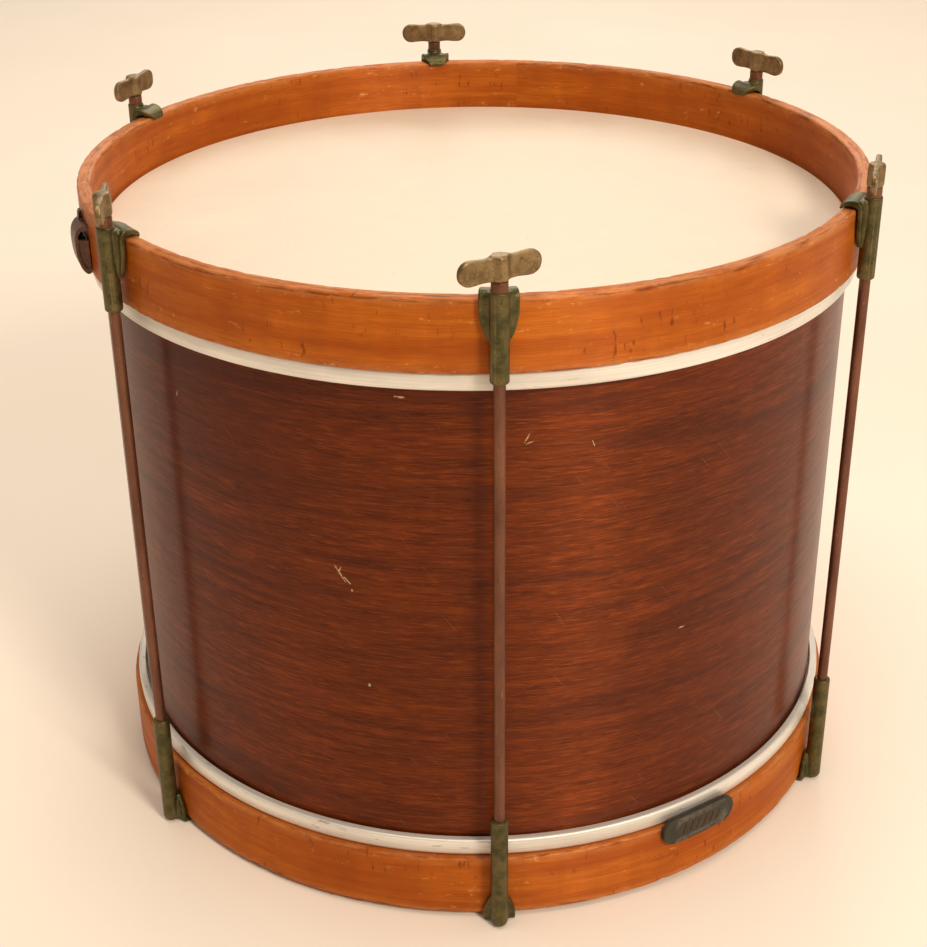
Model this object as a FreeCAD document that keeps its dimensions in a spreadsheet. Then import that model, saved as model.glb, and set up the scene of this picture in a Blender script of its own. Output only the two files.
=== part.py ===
import FreeCAD, Part
import math
import os
import re

import Sketcher

# A 12 x 17 inch field drum: a mahogany-veneered shell between two heads, each head held down by a
# flesh hoop and a maple counterhoop. Six tension rods, each turned by a T-handle, run in six pairs
# of hook claws and pull the two counterhoops together.
#
# Millimetres, +Z up. The origin is on the shell's axis, in the plane that the lower claws stand on.
# Azimuths are degrees from the front (-Y), positive towards +X. A piece that repeats round the drum
# is modelled at azimuth 0, so there "outwards" is -Y, and its Placement turns it to its own place.

DIMENSIONS = [
    # shell and its reinforcing rings
    ("shell_radius", 215.2, "outside of the shell, 17 inches nominal"),
    ("shell_wall", 6.4, "ply shell"),
    ("shell_height", 304.8, "12 inches"),
    ("edge_round", 2.0, "outer chamfer of the bearing edge"),
    ("edge_crown", 1.2, "flat crest of the bearing edge"),
    ("ring_wall", 5.0, "reinforcing ring, inside the shell"),
    ("ring_height", 38.1, "reinforcing ring, with its bevel"),
    ("ring_gap", 0.05, "glue line"),
    # heads
    ("film_gauge", 0.3, "plastic head"),
    ("collar_gap", 0.05, "between the shell and the head's collar"),
    ("bead_radius", 218.4, "bead at the foot of the collar, in the flesh hoop's channel"),
    ("bead_thick", 1.2, "height of that bead"),
    ("bead_rise", 4.6, "bead above the flesh hoop's far face"),
    # flesh hoops
    ("flesh_radius", 221.3, "outside"),
    ("flesh_bore", 216.4, "inside"),
    ("flesh_height", 10.0, "along the drum's axis"),
    ("flesh_lip", 1.6, "walls of the inner channel"),
    ("channel_radius", 219.2, "bottom of the inner channel"),
    ("flesh_round", 1.3, "rolled outer edges"),
    # counterhoops
    ("hoop_radius", 224.1, "outside"),
    ("hoop_wall", 7.9, "steam-bent maple, 5/16 inch"),
    ("hoop_height", 38.1, "1.5 inches"),
    ("hoop_round", 1.8, "eased edges"),
    ("head_recess", 30.4, "head's face below the counterhoop's rim"),
    ("stand_height", 3.0, "counterhoop above the floor, on the lower claws"),
    # claws
    ("rod_circle", 230.5, "radius of the circle of rod axes"),
    ("tube_radius", 4.75, "claw tube"),
    ("bore_radius", 3.06, "running fit on the rod"),
    ("claw_gap", 0.3, "plate off the counterhoop's side"),
    ("plate_depth", 3.2, "plate's outer face off the counterhoop's side"),
    ("claw_half_width", 9.5, "half the plate"),
    ("upper_rise", 6.2, "upper tube's mouth above the rim"),
    ("upper_drop", 39.2, "upper tube's foot below the rim"),
    ("seat_radius", 4.18, "counterbore for the rod's collar"),
    ("seat_depth", 4.0, "depth of that counterbore"),
    ("arch_height", 4.6, "hook above the rim"),
    ("lip_reach", 9.9, "hook's lip from the counterhoop's outer side"),
    ("lip_drop", 1.7, "lip below the rim, on the inner side"),
    ("tip_bevel", 0.4, "slant of the hook's inner end"),
    ("upper_tip", 1.3, "top of the upper hook's inner end, above the rim"),
    ("lower_tip", 0.9, "foot of the lower hook's inner end, above the floor"),
    ("lower_toe", 1.4, "lower hook's flat ends this far from the lip"),
    ("crest_reach", 3.0, "top of the upper hook's arch, inside the counterhoop's side"),
    ("shoulder_drop", 1.4, "outer shoulder below that top"),
    ("shoulder_round", 4.2, "rounding of that shoulder"),
    ("crest_round", 5.5, "rounding of the arch's top"),
    ("tip_round", 1.7, "rounding of the inner end"),
    ("ease_reach", 2.4, "hook follows the counterhoop's eased edge from here"),
    ("ease_middle", 1.0, "middle of that relief"),
    ("ease_rise", 0.35, "hook off the hoop there"),
    ("ease_drop", 0.9, "end of that relief, past the hoop's edge"),
    ("upper_plate_foot", 21.0, "upper plate's foot below the rim"),
    ("upper_neck", 19.5, "upper plate is as narrow as the tube here, below the rim"),
    ("lower_plate_top", 17.5, "lower plate's top above the floor"),
    ("lower_inset", 0.5, "lower plate is narrower than the upper one by this, each side"),
    ("neck_inset", 0.1, "plate's neck inside the tube's wall"),
    ("lip_inset", 5.5, "lip's end narrower than the plate, each side"),
    ("lip_shoulder", 4.2, "its last corner narrower than the plate, each side"),
    ("lip_corner", 0.6, "that corner, short of the lip's face"),
    ("toe_height", 8.0, "height of the bevels beside the lower tube"),
    ("foot_round", 1.1, "rounding of the upper tube's foot"),
    ("overshoot", 2.0, "cutting outlines run this far past what they cut"),
    ("lower_tube_top", 73.5, "lower tube's mouth above the floor"),
    ("lower_bore_floor", 9.0, "end of the lower tube's bore"),
    ("dome_round", 4.5, "rounding of the lower tube's closed end"),
    # tension rods and T-handles
    ("rod_radius", 3.0, "quarter-inch rod"),
    ("rod_foot", 22.0, "rod's lower end above the floor"),
    ("collar_radius", 4.1, "collar that turns in the upper claw's seat"),
    ("spigot_radius", 2.5, "rod's top, pressed into the T-handle"),
    ("spigot_height", 8.0, "length of that spigot"),
    ("rod_bevel", 0.7, "bevel of the rod's lower end"),
    ("seat_clearance", 0.05, "under the collar"),
    ("handle_rise", 11.3, "underside of the T-handle above the rim"),
    ("handle_height", 12.2, "T-handle"),
    ("handle_length", 43.5, "T-handle, tip to tip"),
    ("handle_thick", 3.2, "wings"),
    ("hub_radius", 4.85, "hub between the wings"),
    ("hub_crown", 0.5, "hub above the wings"),
    ("handle_round", 5.8, "round ends of the wings"),
    ("handle_soft", 0.8, "soft edges of the wings and hub"),
    # plate on the lower counterhoop
    ("plate_length_angle", 13.2, "angle that the plate spans"),
    ("plate_thick", 3.6, "plate"),
    ("plate_low", 29.4, "lower edge above the floor"),
    ("plate_high", 46.9, "upper edge above the floor"),
    ("plate_round", 8.2, "round ends"),
    ("plate_soft", 1.1, "bevelled rim"),
    ("plate_angle", 33.6, "azimuth"),
    ("rib_floor", 227.0, "bottoms of the grooves, from the axis"),
    ("groove_pitch", 4.9, "between grooves"),
    ("groove_reach", 3.4, "half the grooves' height"),
    ("groove_far", 1.7, "groove's outer corners from its middle"),
    ("groove_near", 0.3, "groove's inner corners from its middle"),
    # strap bow on the upper counterhoop
    ("bow_angle", -68.8, "azimuth"),
    ("bow_width", 22.0, "bow, round the drum"),
    ("bow_cheek", 1.8, "side cheeks"),
    ("bow_drop", 37.0, "lowest point below the rim"),
    ("bow_floor", 1.1, "front of the base plate, off the counterhoop's side"),
    ("screw_low", 7.5, "lower wood screw above the lowest point"),
    ("screw_high", 16.0, "upper wood screw above the lowest point"),
    ("screw_radius", 1.5, "shanks"),
    ("screw_length", 6.5, "shanks, inside the counterhoop"),
    ("screw_head", 2.8, "radius of the heads"),
    ("screw_head_high", 1.3, "thickness of the heads"),
    # vent
    ("vent_angle", 157.0, "azimuth"),
    ("vent_hole", 7.0, "radius of the hole in the shell"),
    ("grommet_bore", 5.4, "radius"),
    ("grommet_flange", 10.0, "radius of the outer flange"),
]

# Corners of the fittings' outlines.
UPPER_FLARE = [(0, 6), (1.5, 13)]    # plate narrower by this each side, this far below the rim
LOWER_FLARE = [(0, 5), (1.5, 11.5)]    # the same on the lower claw, this far above the floor
TONGUE = [(0, 2.5), (1.1, 6.5)]    # hook narrower by this each side, this far inside the hoop's side
# The strap bow from the side: (off the counterhoop's side, above the bow's lowest point).
BOW_SIDE = [
    (0.1, 1.8), (2.6, 0), (6.0, 5.2), (7.1, 12.5), (7.0, 20), (6.3, 25), (7.2, 27.2), (5.4, 28.6),
    (2.8, 31.2), (0.1, 32),
]
BOW_WINDOW = [(-1, 21), (5.2, 21), (4.4, 26), (2.2, 29.2), (-1, 30)]    # open through the cheeks
BOW_TUNNEL = [(3.4, -1), (5.3, 6), (5.4, 21.5)]    # front of the space between the cheeks

# The claws are set by hand, so their spacing is uneven. Each T-handle stopped at its own angle from
# the tangent, positive anticlockwise from above.
STATIONS = [
    # number, azimuth of the rod, turn of the T-handle
    (1, 2.8, 27.0),
    (2, 64.4, 10.0),
    (3, 127.5, 0.0),
    (4, 186.7, -2.5),
    (5, 246.0, 4.0),
    (6, 306.5, -31.0),
]

GROOVES = 6

document = FreeCAD.newDocument("FieldDrum")
sheet = document.addObject("Spreadsheet::Sheet", "dims")
for row, (alias, value, note) in enumerate(DIMENSIONS, start=1):
    sheet.set(f"A{row}", alias)
    sheet.set(f"B{row}", str(value))
    sheet.set(f"C{row}", note)
    sheet.setAlias(f"B{row}", alias)
document.recompute()

# Levels measured from the drum's middle plane, the same above and below it.
EDGE_LEVEL = "shell_height / 2"
RIM_LEVEL = "(shell_height / 2 + film_gauge + head_recess)"
FLESH_NEAR = f"({RIM_LEVEL} - hoop_height)"
FLESH_FAR = f"({RIM_LEVEL} - hoop_height - flesh_height)"


def size(alias):
    """A cell's number, for placements and shapes that part.py works out itself."""
    return float(sheet.get(alias))


HALF_HEIGHT = size("shell_height") / 2 + size("film_gauge") + size("head_recess")
MIDDLE = size("stand_height") + HALF_HEIGHT
RIM = MIDDLE + HALF_HEIGHT


def on_sheet(text):
    """Turn the aliases in an expression into references to the sheet's cells."""
    return re.sub(r"[a-z][a-z_]+", r"dims.\g<0>", text)


# ---- placements ----

def turned(angle, height=0.0):
    """At an azimuth, lifted by height."""
    turn = FreeCAD.Rotation(FreeCAD.Vector(0, 0, 1), angle)
    return FreeCAD.Placement(FreeCAD.Vector(0, 0, height), turn)


def upright():
    """Seen from the middle plane, for the pieces above it."""
    return turned(0, MIDDLE)


def upside_down():
    """The same piece turned over, for the pieces below the middle plane."""
    flip = FreeCAD.Rotation(FreeCAD.Vector(1, 0, 0), 180)
    return FreeCAD.Placement(FreeCAD.Vector(0, 0, MIDDLE), flip)


def at_rod(azimuth, turn=0.0):
    """On a rod's axis, at floor level, turned from the tangent."""
    angle = math.radians(azimuth)
    radius = size("rod_circle")
    centre = FreeCAD.Vector(radius * math.sin(angle), -radius * math.cos(angle), 0)
    spin = FreeCAD.Rotation(FreeCAD.Vector(0, 0, 1), azimuth + turn)
    return FreeCAD.Placement(centre, spin)


# ---- features ----

def new_body(label, placement):
    body = document.addObject("PartDesign::Body", label)
    body.Label = label
    body.Placement = placement
    return body


def new_sketch(body, name, role, offset=0.0):
    """An empty sketch on one of the body's own origin planes, offset along the plane's normal."""
    plane = [f for f in body.Origin.OriginFeatures if f.Role == role][0]
    sketch = body.newObject("Sketcher::SketchObject", f"{body.Name}_{name}")
    sketch.AttachmentSupport = [(plane, "")]
    sketch.MapMode = "FlatFace"
    sketch.AttachmentOffset = FreeCAD.Placement(FreeCAD.Vector(0, 0, offset), FreeCAD.Rotation())
    return sketch


def bind(sketch, kind, geometry, point, expression):
    """Fix a point's distance from the sketch's origin by an expression."""
    index = sketch.addConstraint(Sketcher.Constraint(kind, -1, 1, geometry, point, 1.0))
    sketch.setExpression(f"Constraints[{index}]", on_sheet(expression))


def add_outline(sketch, corners):
    """A closed polygon whose corners are pairs of expressions."""
    count = len(corners)
    first = sketch.GeometryCount
    for i in range(count):
        ends = []
        for k in (i, i + 1):
            around = 2 * math.pi * k / count
            ends.append(FreeCAD.Vector(math.cos(around), math.sin(around), 0))
        sketch.addGeometry(Part.LineSegment(*ends), False)
    for i in range(count):
        following = first + (i + 1) % count
        sketch.addConstraint(Sketcher.Constraint("Coincident", first + i, 2, following, 1))
    for i, (across, up) in enumerate(corners):
        bind(sketch, "DistanceX", first + i, 1, across)
        bind(sketch, "DistanceY", first + i, 1, up)
    return sketch


def add_circle(sketch, across, up, radius):
    centre = FreeCAD.Vector(1, 1, 0)
    circle = Part.Circle(centre, FreeCAD.Vector(0, 0, 1), 1.0)
    geometry = sketch.addGeometry(circle, False)
    bind(sketch, "DistanceX", geometry, 3, across)
    bind(sketch, "DistanceY", geometry, 3, up)
    index = sketch.addConstraint(Sketcher.Constraint("Radius", geometry, 1.0))
    sketch.setExpression(f"Constraints[{index}]", on_sheet(radius))
    return sketch


def new_feature(body, kind, sketch, name):
    feature = body.newObject(f"PartDesign::{kind}", f"{body.Name}_{name}")
    feature.Profile = sketch
    return feature


def revolve(body, name, sketch, axis="V_Axis", angle="360"):
    feature = new_feature(body, "Revolution", sketch, name)
    feature.ReferenceAxis = (sketch, [axis])
    feature.setExpression("Angle", on_sheet(angle))
    document.recompute()
    return feature


def pad(body, name, sketch, length, both_ways=False):
    feature = new_feature(body, "Pad", sketch, name)
    feature.setExpression("Length", on_sheet(length))
    if both_ways:
        feature.SideType = "Symmetric"
    document.recompute()
    return feature


def cut(body, name, sketch, length=None, both_ways=False, along_normal=False):
    """A pocket, through everything unless a length is given. It has to remove material."""
    before = body.Shape.Volume
    feature = new_feature(body, "Pocket", sketch, name)
    if both_ways:
        feature.SideType = "Symmetric"
    if length:
        feature.setExpression("Length", on_sheet(length))
    else:
        feature.Type = "ThroughAll"
    feature.Reversed = along_normal
    document.recompute()
    if body.Shape.Volume >= before - 0.01:
        raise RuntimeError(f"{body.Label}: {name} removes nothing")
    return feature


def fillet(body, name, radius, chosen):
    """Round the edges of the body's last feature that chosen(edge) picks."""
    base = body.Tip
    names = [f"Edge{i}" for i, edge in enumerate(base.Shape.Edges, start=1) if chosen(edge)]
    if not names:
        raise RuntimeError(f"{body.Label}: {name} finds no edge")
    feature = body.newObject("PartDesign::Fillet", f"{body.Name}_{name}")
    feature.Base = (base, names)
    feature.setExpression("Radius", on_sheet(radius))
    document.recompute()
    return feature


def near(a, b):
    return abs(a - b) < 1e-3


def is_ring(edge, radius=None, height=None):
    """A whole circle about a vertical axis, of the radius and at the height given."""
    if not isinstance(edge.Curve, Part.Circle) or abs(edge.Curve.Axis.z) < 0.99:
        return False
    fits_radius = radius is None or near(edge.Curve.Radius, radius)
    return fits_radius and (height is None or near(edge.CenterOfMass.z, height))


def is_radial(edge):
    """A straight, level edge that points at the Z axis."""
    if not isinstance(edge.Curve, Part.Line) or abs(edge.Curve.Direction.z) > 0.001:
        return False
    middle = edge.CenterOfMass
    outwards = FreeCAD.Vector(middle.x, middle.y, 0).normalize()
    return abs(edge.Curve.Direction.dot(outwards)) > 0.999


def is_on_cylinder(edge, radius):
    """Every point of the edge is at this distance from the Z axis."""
    points = edge.discretize(5)
    return all(near(math.hypot(point.x, point.y), radius) for point in points)


def is_line_along(edge, axis):
    if not isinstance(edge.Curve, Part.Line):
        return False
    return abs(edge.Curve.Direction.dot(axis)) > 0.999


ALONG_X = FreeCAD.Vector(1, 0, 0)
ALONG_Y = FreeCAD.Vector(0, 1, 0)


# ---- shell ----

def make_shell():
    body = new_body("shell", upright())
    inner = "(shell_radius - shell_wall)"
    bevel_foot = f"({EDGE_LEVEL} - (shell_wall - edge_round - edge_crown))"
    crest = "(shell_radius - edge_round - edge_crown)"
    upper_half = [
        (inner, bevel_foot),
        (crest, EDGE_LEVEL),
        ("shell_radius - edge_round", EDGE_LEVEL),
        ("shell_radius", f"{EDGE_LEVEL} - edge_round"),
    ]
    lower_half = [(across, f"-({up})") for across, up in reversed(upper_half)]
    sketch = add_outline(new_sketch(body, "section", "XZ_Plane"), upper_half + lower_half)
    revolve(body, "wall", sketch)
    body.Placement = turned(size("vent_angle"), MIDDLE)
    vent = add_circle(new_sketch(body, "vent", "XZ_Plane"), "0", "0", "vent_hole")
    cut(body, "vent_hole", vent, along_normal=True)
    return body


def make_shell_ring(label, placement):
    """A reinforcing ring glued inside one end of the shell, bevelled in line with its edge."""
    body = new_body(label, placement)
    outer = "(shell_radius - shell_wall - ring_gap)"
    inner = f"({outer} - ring_wall)"
    bevel_top = f"({EDGE_LEVEL} - (shell_wall - edge_round - edge_crown) - ring_gap)"
    foot = f"({EDGE_LEVEL} - ring_height)"
    corners = [
        (inner, foot),
        (outer, foot),
        (outer, bevel_top),
        (inner, f"{bevel_top} - ring_wall"),
    ]
    revolve(body, "ring", add_outline(new_sketch(body, "section", "XZ_Plane"), corners))
    return body


def make_head(label, placement):
    """A film stretched over the bearing edge, with a collar down to a bead in the flesh hoop."""
    body = new_body(label, placement)
    collar_in = "(shell_radius + collar_gap)"
    collar_out = f"({collar_in} + film_gauge)"
    bead_foot = f"({FLESH_FAR} + bead_rise)"
    shoulder = "shell_radius - edge_round"
    corners = [
        ("0", EDGE_LEVEL),
        (shoulder, EDGE_LEVEL),
        (collar_in, f"{EDGE_LEVEL} - edge_round"),
        (collar_in, bead_foot),
        ("bead_radius", bead_foot),
        ("bead_radius", f"{bead_foot} + bead_thick"),
        (collar_out, f"{bead_foot} + bead_thick"),
        (collar_out, f"{EDGE_LEVEL} - edge_round + film_gauge * 0.4"),
        (f"{shoulder} + film_gauge * 0.4", f"{EDGE_LEVEL} + film_gauge"),
        ("0", f"{EDGE_LEVEL} + film_gauge"),
    ]
    revolve(body, "film", add_outline(new_sketch(body, "section", "XZ_Plane"), corners))
    return body


# ---- hoops ----

def make_flesh_hoop(label, placement):
    """An aluminium channel ring, open inwards, that holds the head's bead."""
    body = new_body(label, placement)
    corners = [
        ("flesh_bore", FLESH_FAR),
        ("flesh_radius", FLESH_FAR),
        ("flesh_radius", FLESH_NEAR),
        ("flesh_bore", FLESH_NEAR),
        ("flesh_bore", f"{FLESH_NEAR} - flesh_lip"),
        ("channel_radius", f"{FLESH_NEAR} - flesh_lip"),
        ("channel_radius", f"{FLESH_FAR} + flesh_lip"),
        ("flesh_bore", f"{FLESH_FAR} + flesh_lip"),
    ]
    revolve(body, "channel", add_outline(new_sketch(body, "section", "XZ_Plane"), corners))
    outside = size("flesh_radius")
    fillet(body, "rolled_edges", "flesh_round", lambda edge: is_ring(edge, outside))
    return body


def make_counterhoop(label, placement):
    body = new_body(label, placement)
    inner = "hoop_radius - hoop_wall"
    corners = [
        (inner, FLESH_NEAR),
        ("hoop_radius", FLESH_NEAR),
        ("hoop_radius", RIM_LEVEL),
        (inner, RIM_LEVEL),
    ]
    revolve(body, "band", add_outline(new_sketch(body, "section", "XZ_Plane"), corners))
    fillet(body, "eased_edges", "hoop_round", is_ring)
    return body


def drill_for_bow(hoop):
    """Turn the round hoop so that its azimuth 0 is under the strap bow, and drill it there."""
    hoop.Placement = turned(size("bow_angle"), MIDDLE)
    depth = size("hoop_radius") - size("screw_length")
    holes = new_sketch(hoop, "screw_holes", "XZ_Plane", offset=depth)
    for level in ("screw_low", "screw_high"):
        add_circle(holes, "0", f"{RIM_LEVEL} - bow_drop + {level}", "screw_radius")
    cut(hoop, "screw_hole_cut", holes, along_normal=True)


# ---- claws ----

def is_cross_edge(edge, height):
    """A straight edge across a claw, at this height."""
    return is_line_along(edge, ALONG_X) and near(edge.CenterOfMass.z, height)


def off_hoop(expression):
    """Sketch abscissa, in the YZ plane at azimuth 0, of a point this far outside the hoop's side."""
    return f"-(hoop_radius + ({expression}))"


def mirrored(corners):
    return [(f"-({across})", up) for across, up in corners]


def round_tongue(body, half_width):
    """Narrow a hook towards its lip, whose width is the same on both claws."""
    beyond = "(claw_half_width + overshoot)"
    past_lip = off_hoop("-lip_reach - overshoot / 4")
    outline = [(f"{half_width} - {inset}", off_hoop(-reach)) for inset, reach in TONGUE]
    outline += [
        ("claw_half_width - lip_shoulder", off_hoop("lip_corner - lip_reach")),
        ("claw_half_width - lip_inset", past_lip),
        (beyond, past_lip),
        (beyond, off_hoop(-TONGUE[0][1])),
    ]
    plan = new_sketch(body, "tongue", "XY_Plane")
    add_outline(plan, outline)
    add_outline(plan, mirrored(outline))
    cut(body, "tongue_cut", plan, both_ways=True)


def make_upper_claw(number, azimuth):
    """A tube with a hook that arches over the rim. Its z is measured from the rim."""
    body = new_body(f"upper_claw_{number}", turned(azimuth, RIM))
    hook = [
        (off_hoop("plate_depth"), "-upper_plate_foot"),
        (off_hoop("plate_depth"), "arch_height - shoulder_drop"),
        (off_hoop("-crest_reach"), "arch_height"),
        (off_hoop("tip_bevel - lip_reach"), "upper_tip"),
        (off_hoop("-lip_reach"), "-lip_drop"),
        (off_hoop("-hoop_wall - claw_gap"), "-lip_drop"),
        (off_hoop("-hoop_wall - claw_gap"), "0"),
        (off_hoop("-ease_reach"), "0"),
        (off_hoop("-ease_middle"), "ease_rise"),
        (off_hoop("claw_gap"), "-ease_drop"),
        (off_hoop("claw_gap"), "-upper_plate_foot"),
    ]
    sketch = add_outline(new_sketch(body, "hook", "YZ_Plane"), hook)
    pad(body, "hook_pad", sketch, "2 * claw_half_width", both_ways=True)

    arch, tip = size("arch_height"), size("upper_tip")
    shoulder = arch - size("shoulder_drop")
    fillet(body, "shoulder", "shoulder_round", lambda edge: is_cross_edge(edge, shoulder))
    fillet(body, "crest", "crest_round", lambda edge: is_cross_edge(edge, arch))
    fillet(body, "tip", "tip_round", lambda edge: is_cross_edge(edge, tip))

    # the plate narrows downwards into the tube, and the lip is a rounded tongue
    beyond = "(claw_half_width + overshoot)"
    flare = [(f"claw_half_width - {inset}", f"-{drop}") for inset, drop in UPPER_FLARE]
    flare += [
        ("tube_radius - neck_inset", "-upper_neck"),
        ("tube_radius - neck_inset", "-upper_plate_foot - overshoot"),
        (beyond, "-upper_plate_foot - overshoot"),
        (beyond, f"-{UPPER_FLARE[0][1]}"),
    ]
    front = new_sketch(body, "flare", "XZ_Plane")
    add_outline(front, flare)
    add_outline(front, mirrored(flare))
    cut(body, "flare_cut", front, along_normal=True)
    round_tongue(body, "claw_half_width")

    foot = new_sketch(body, "tube", "XY_Plane", offset=-size("upper_drop"))
    add_circle(foot, "0", "-rod_circle", "tube_radius")
    pad(body, "tube_pad", foot, "upper_drop + upper_rise")
    drop = size("upper_drop")
    fillet(body, "foot_round", "foot_round", lambda edge: is_ring(edge, height=-drop))
    bore = add_circle(new_sketch(body, "bore", "XY_Plane"), "0", "-rod_circle", "bore_radius")
    cut(body, "bore_cut", bore, both_ways=True)
    mouth = new_sketch(body, "seat", "XY_Plane", offset=size("upper_rise"))
    add_circle(mouth, "0", "-rod_circle", "seat_radius")
    cut(body, "seat_cut", mouth, length="seat_depth")
    return body


def make_lower_claw(number, azimuth):
    """A closed tube with a hook under the lower rim. The drum stands on the hook's flat."""
    body = new_body(f"lower_claw_{number}", turned(azimuth))
    tube = add_circle(new_sketch(body, "tube", "XY_Plane"), "0", "-rod_circle", "tube_radius")
    pad(body, "tube_pad", tube, "lower_tube_top")
    fillet(body, "dome", "dome_round", lambda edge: is_ring(edge, height=0.0))
    hook = [
        (off_hoop("plate_depth"), "lower_plate_top"),
        (off_hoop("claw_gap"), "lower_plate_top"),
        (off_hoop("claw_gap"), "stand_height + ease_drop"),
        (off_hoop("-ease_middle"), "stand_height - ease_rise"),
        (off_hoop("-ease_reach"), "stand_height"),
        (off_hoop("-hoop_wall - claw_gap"), "stand_height"),
        (off_hoop("-hoop_wall - claw_gap"), "stand_height + lip_drop"),
        (off_hoop("-lip_reach"), "stand_height + lip_drop"),
        (off_hoop("tip_bevel - lip_reach"), "lower_tip"),
        (off_hoop("lower_toe - lip_reach"), "0"),
        (off_hoop("plate_depth"), "0"),
    ]
    sketch = add_outline(new_sketch(body, "hook", "YZ_Plane"), hook)
    half_width = "(claw_half_width - lower_inset)"
    pad(body, "hook_pad", sketch, f"2 * {half_width}", both_ways=True)
    beyond = "(claw_half_width + overshoot)"
    flare = [(f"{half_width} - {inset}", f"{rise}") for inset, rise in LOWER_FLARE]
    flare += [
        ("tube_radius", "lower_plate_top + overshoot / 4"),
        (beyond, "lower_plate_top + overshoot / 4"),
        (beyond, f"{LOWER_FLARE[0][1]}"),
    ]
    front = new_sketch(body, "flare", "XZ_Plane")
    add_outline(front, flare)
    add_outline(front, mirrored(flare))
    cut(body, "flare_cut", front, along_normal=True)
    round_tongue(body, half_width)
    # the plate's two front corners, bevelled beside the tube
    toe = [
        ("tube_radius", off_hoop("plate_depth + overshoot / 4")),
        (beyond, off_hoop("plate_depth + overshoot / 4")),
        (beyond, off_hoop("claw_gap")),
        (half_width, off_hoop("claw_gap")),
    ]
    corners = new_sketch(body, "toe", "XY_Plane")
    add_outline(corners, toe)
    add_outline(corners, mirrored(toe))
    cut(body, "toe_cut", corners, length="toe_height", along_normal=True)
    mouth = new_sketch(body, "bore", "XY_Plane", offset=size("lower_tube_top"))
    add_circle(mouth, "0", "-rod_circle", "bore_radius")
    cut(body, "bore_cut", mouth, length="lower_tube_top - lower_bore_floor")
    return body


# ---- rods and handles ----

def make_rod(number, azimuth):
    """A tension rod about its own axis, with the collar that bears on the claw's seat."""
    body = new_body(f"tension_rod_{number}", at_rod(azimuth))
    rim = "(stand_height + shell_height + 2 * film_gauge + 2 * head_recess)"
    seat = f"({rim} + upper_rise - seat_depth + seat_clearance)"
    under_handle = f"({rim} + handle_rise)"
    corners = [
        ("0", "rod_foot"),
        ("rod_radius - rod_bevel", "rod_foot"),
        ("rod_radius", "rod_foot + rod_bevel"),
        ("rod_radius", seat),
        ("collar_radius", seat),
        ("collar_radius", under_handle),
        ("spigot_radius", under_handle),
        ("spigot_radius", f"{under_handle} + spigot_height"),
        ("0", f"{under_handle} + spigot_height"),
    ]
    revolve(body, "rod", add_outline(new_sketch(body, "section", "XZ_Plane"), corners))
    return body


def make_handle(number, azimuth, turn):
    """A T-handle: two flat wings with round ends, either side of a round hub."""
    placement = at_rod(azimuth, turn)
    placement.Base.z = RIM + size("handle_rise")
    body = new_body(f"tee_handle_{number}", placement)
    wings = [
        ("-handle_length / 2", "0"),
        ("handle_length / 2", "0"),
        ("handle_length / 2", "handle_height"),
        ("-handle_length / 2", "handle_height"),
    ]
    sketch = add_outline(new_sketch(body, "wings", "XZ_Plane"), wings)
    pad(body, "wings_pad", sketch, "handle_thick", both_ways=True)
    fillet(body, "round_ends", "handle_round", lambda edge: is_line_along(edge, ALONG_Y))
    side = size("handle_thick") / 2
    fillet(body, "soft_faces", "handle_soft", lambda edge: near(abs(edge.CenterOfMass.y), side))
    hub = add_circle(new_sketch(body, "hub", "XY_Plane"), "0", "0", "hub_radius")
    pad(body, "hub_pad", hub, "handle_height + hub_crown")
    top = size("handle_height") + size("hub_crown")
    fillet(body, "hub_round", "handle_soft", lambda edge: is_ring(edge, height=top))
    socket = add_circle(new_sketch(body, "socket", "XY_Plane"), "0", "0", "spigot_radius")
    cut(body, "socket_cut", socket, length="spigot_height", along_normal=True)
    return body


# ---- plate, strap bow and vent ----

def make_hoop_plate():
    """A pill-shaped plate bent to the counterhoop, with a row of slanted grooves. Its middle is at +X."""
    body = new_body("hoop_plate", turned(size("plate_angle") - 90))
    outside = "(hoop_radius + plate_thick)"
    corners = [
        ("hoop_radius", "plate_low"),
        (outside, "plate_low"),
        (outside, "plate_high"),
        ("hoop_radius", "plate_high"),
    ]
    sketch = add_outline(new_sketch(body, "section", "XZ_Plane"), corners)
    blank = revolve(body, "blank", sketch, angle="plate_length_angle")
    blank.Midplane = True
    document.recompute()
    fillet(body, "round_ends", "plate_round", is_radial)
    face = size("hoop_radius") + size("plate_thick")
    fillet(body, "soft_rim", "plate_soft", lambda edge: is_on_cylinder(edge, face))
    grooves = new_sketch(body, "grooves", "YZ_Plane", offset=size("rib_floor"))
    middle = "(plate_low + plate_high) / 2"
    for i in range(GROOVES):
        across = f"groove_pitch * ({i} - {(GROOVES - 1) / 2})"
        add_outline(grooves, [
            (f"{across} - groove_far", f"{middle} - groove_reach"),
            (f"{across} - groove_near", f"{middle} - groove_reach"),
            (f"{across} + groove_far", f"{middle} + groove_reach"),
            (f"{across} + groove_near", f"{middle} + groove_reach"),
        ])
    cut(body, "groove_cut", grooves, along_normal=True)
    return body


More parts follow.
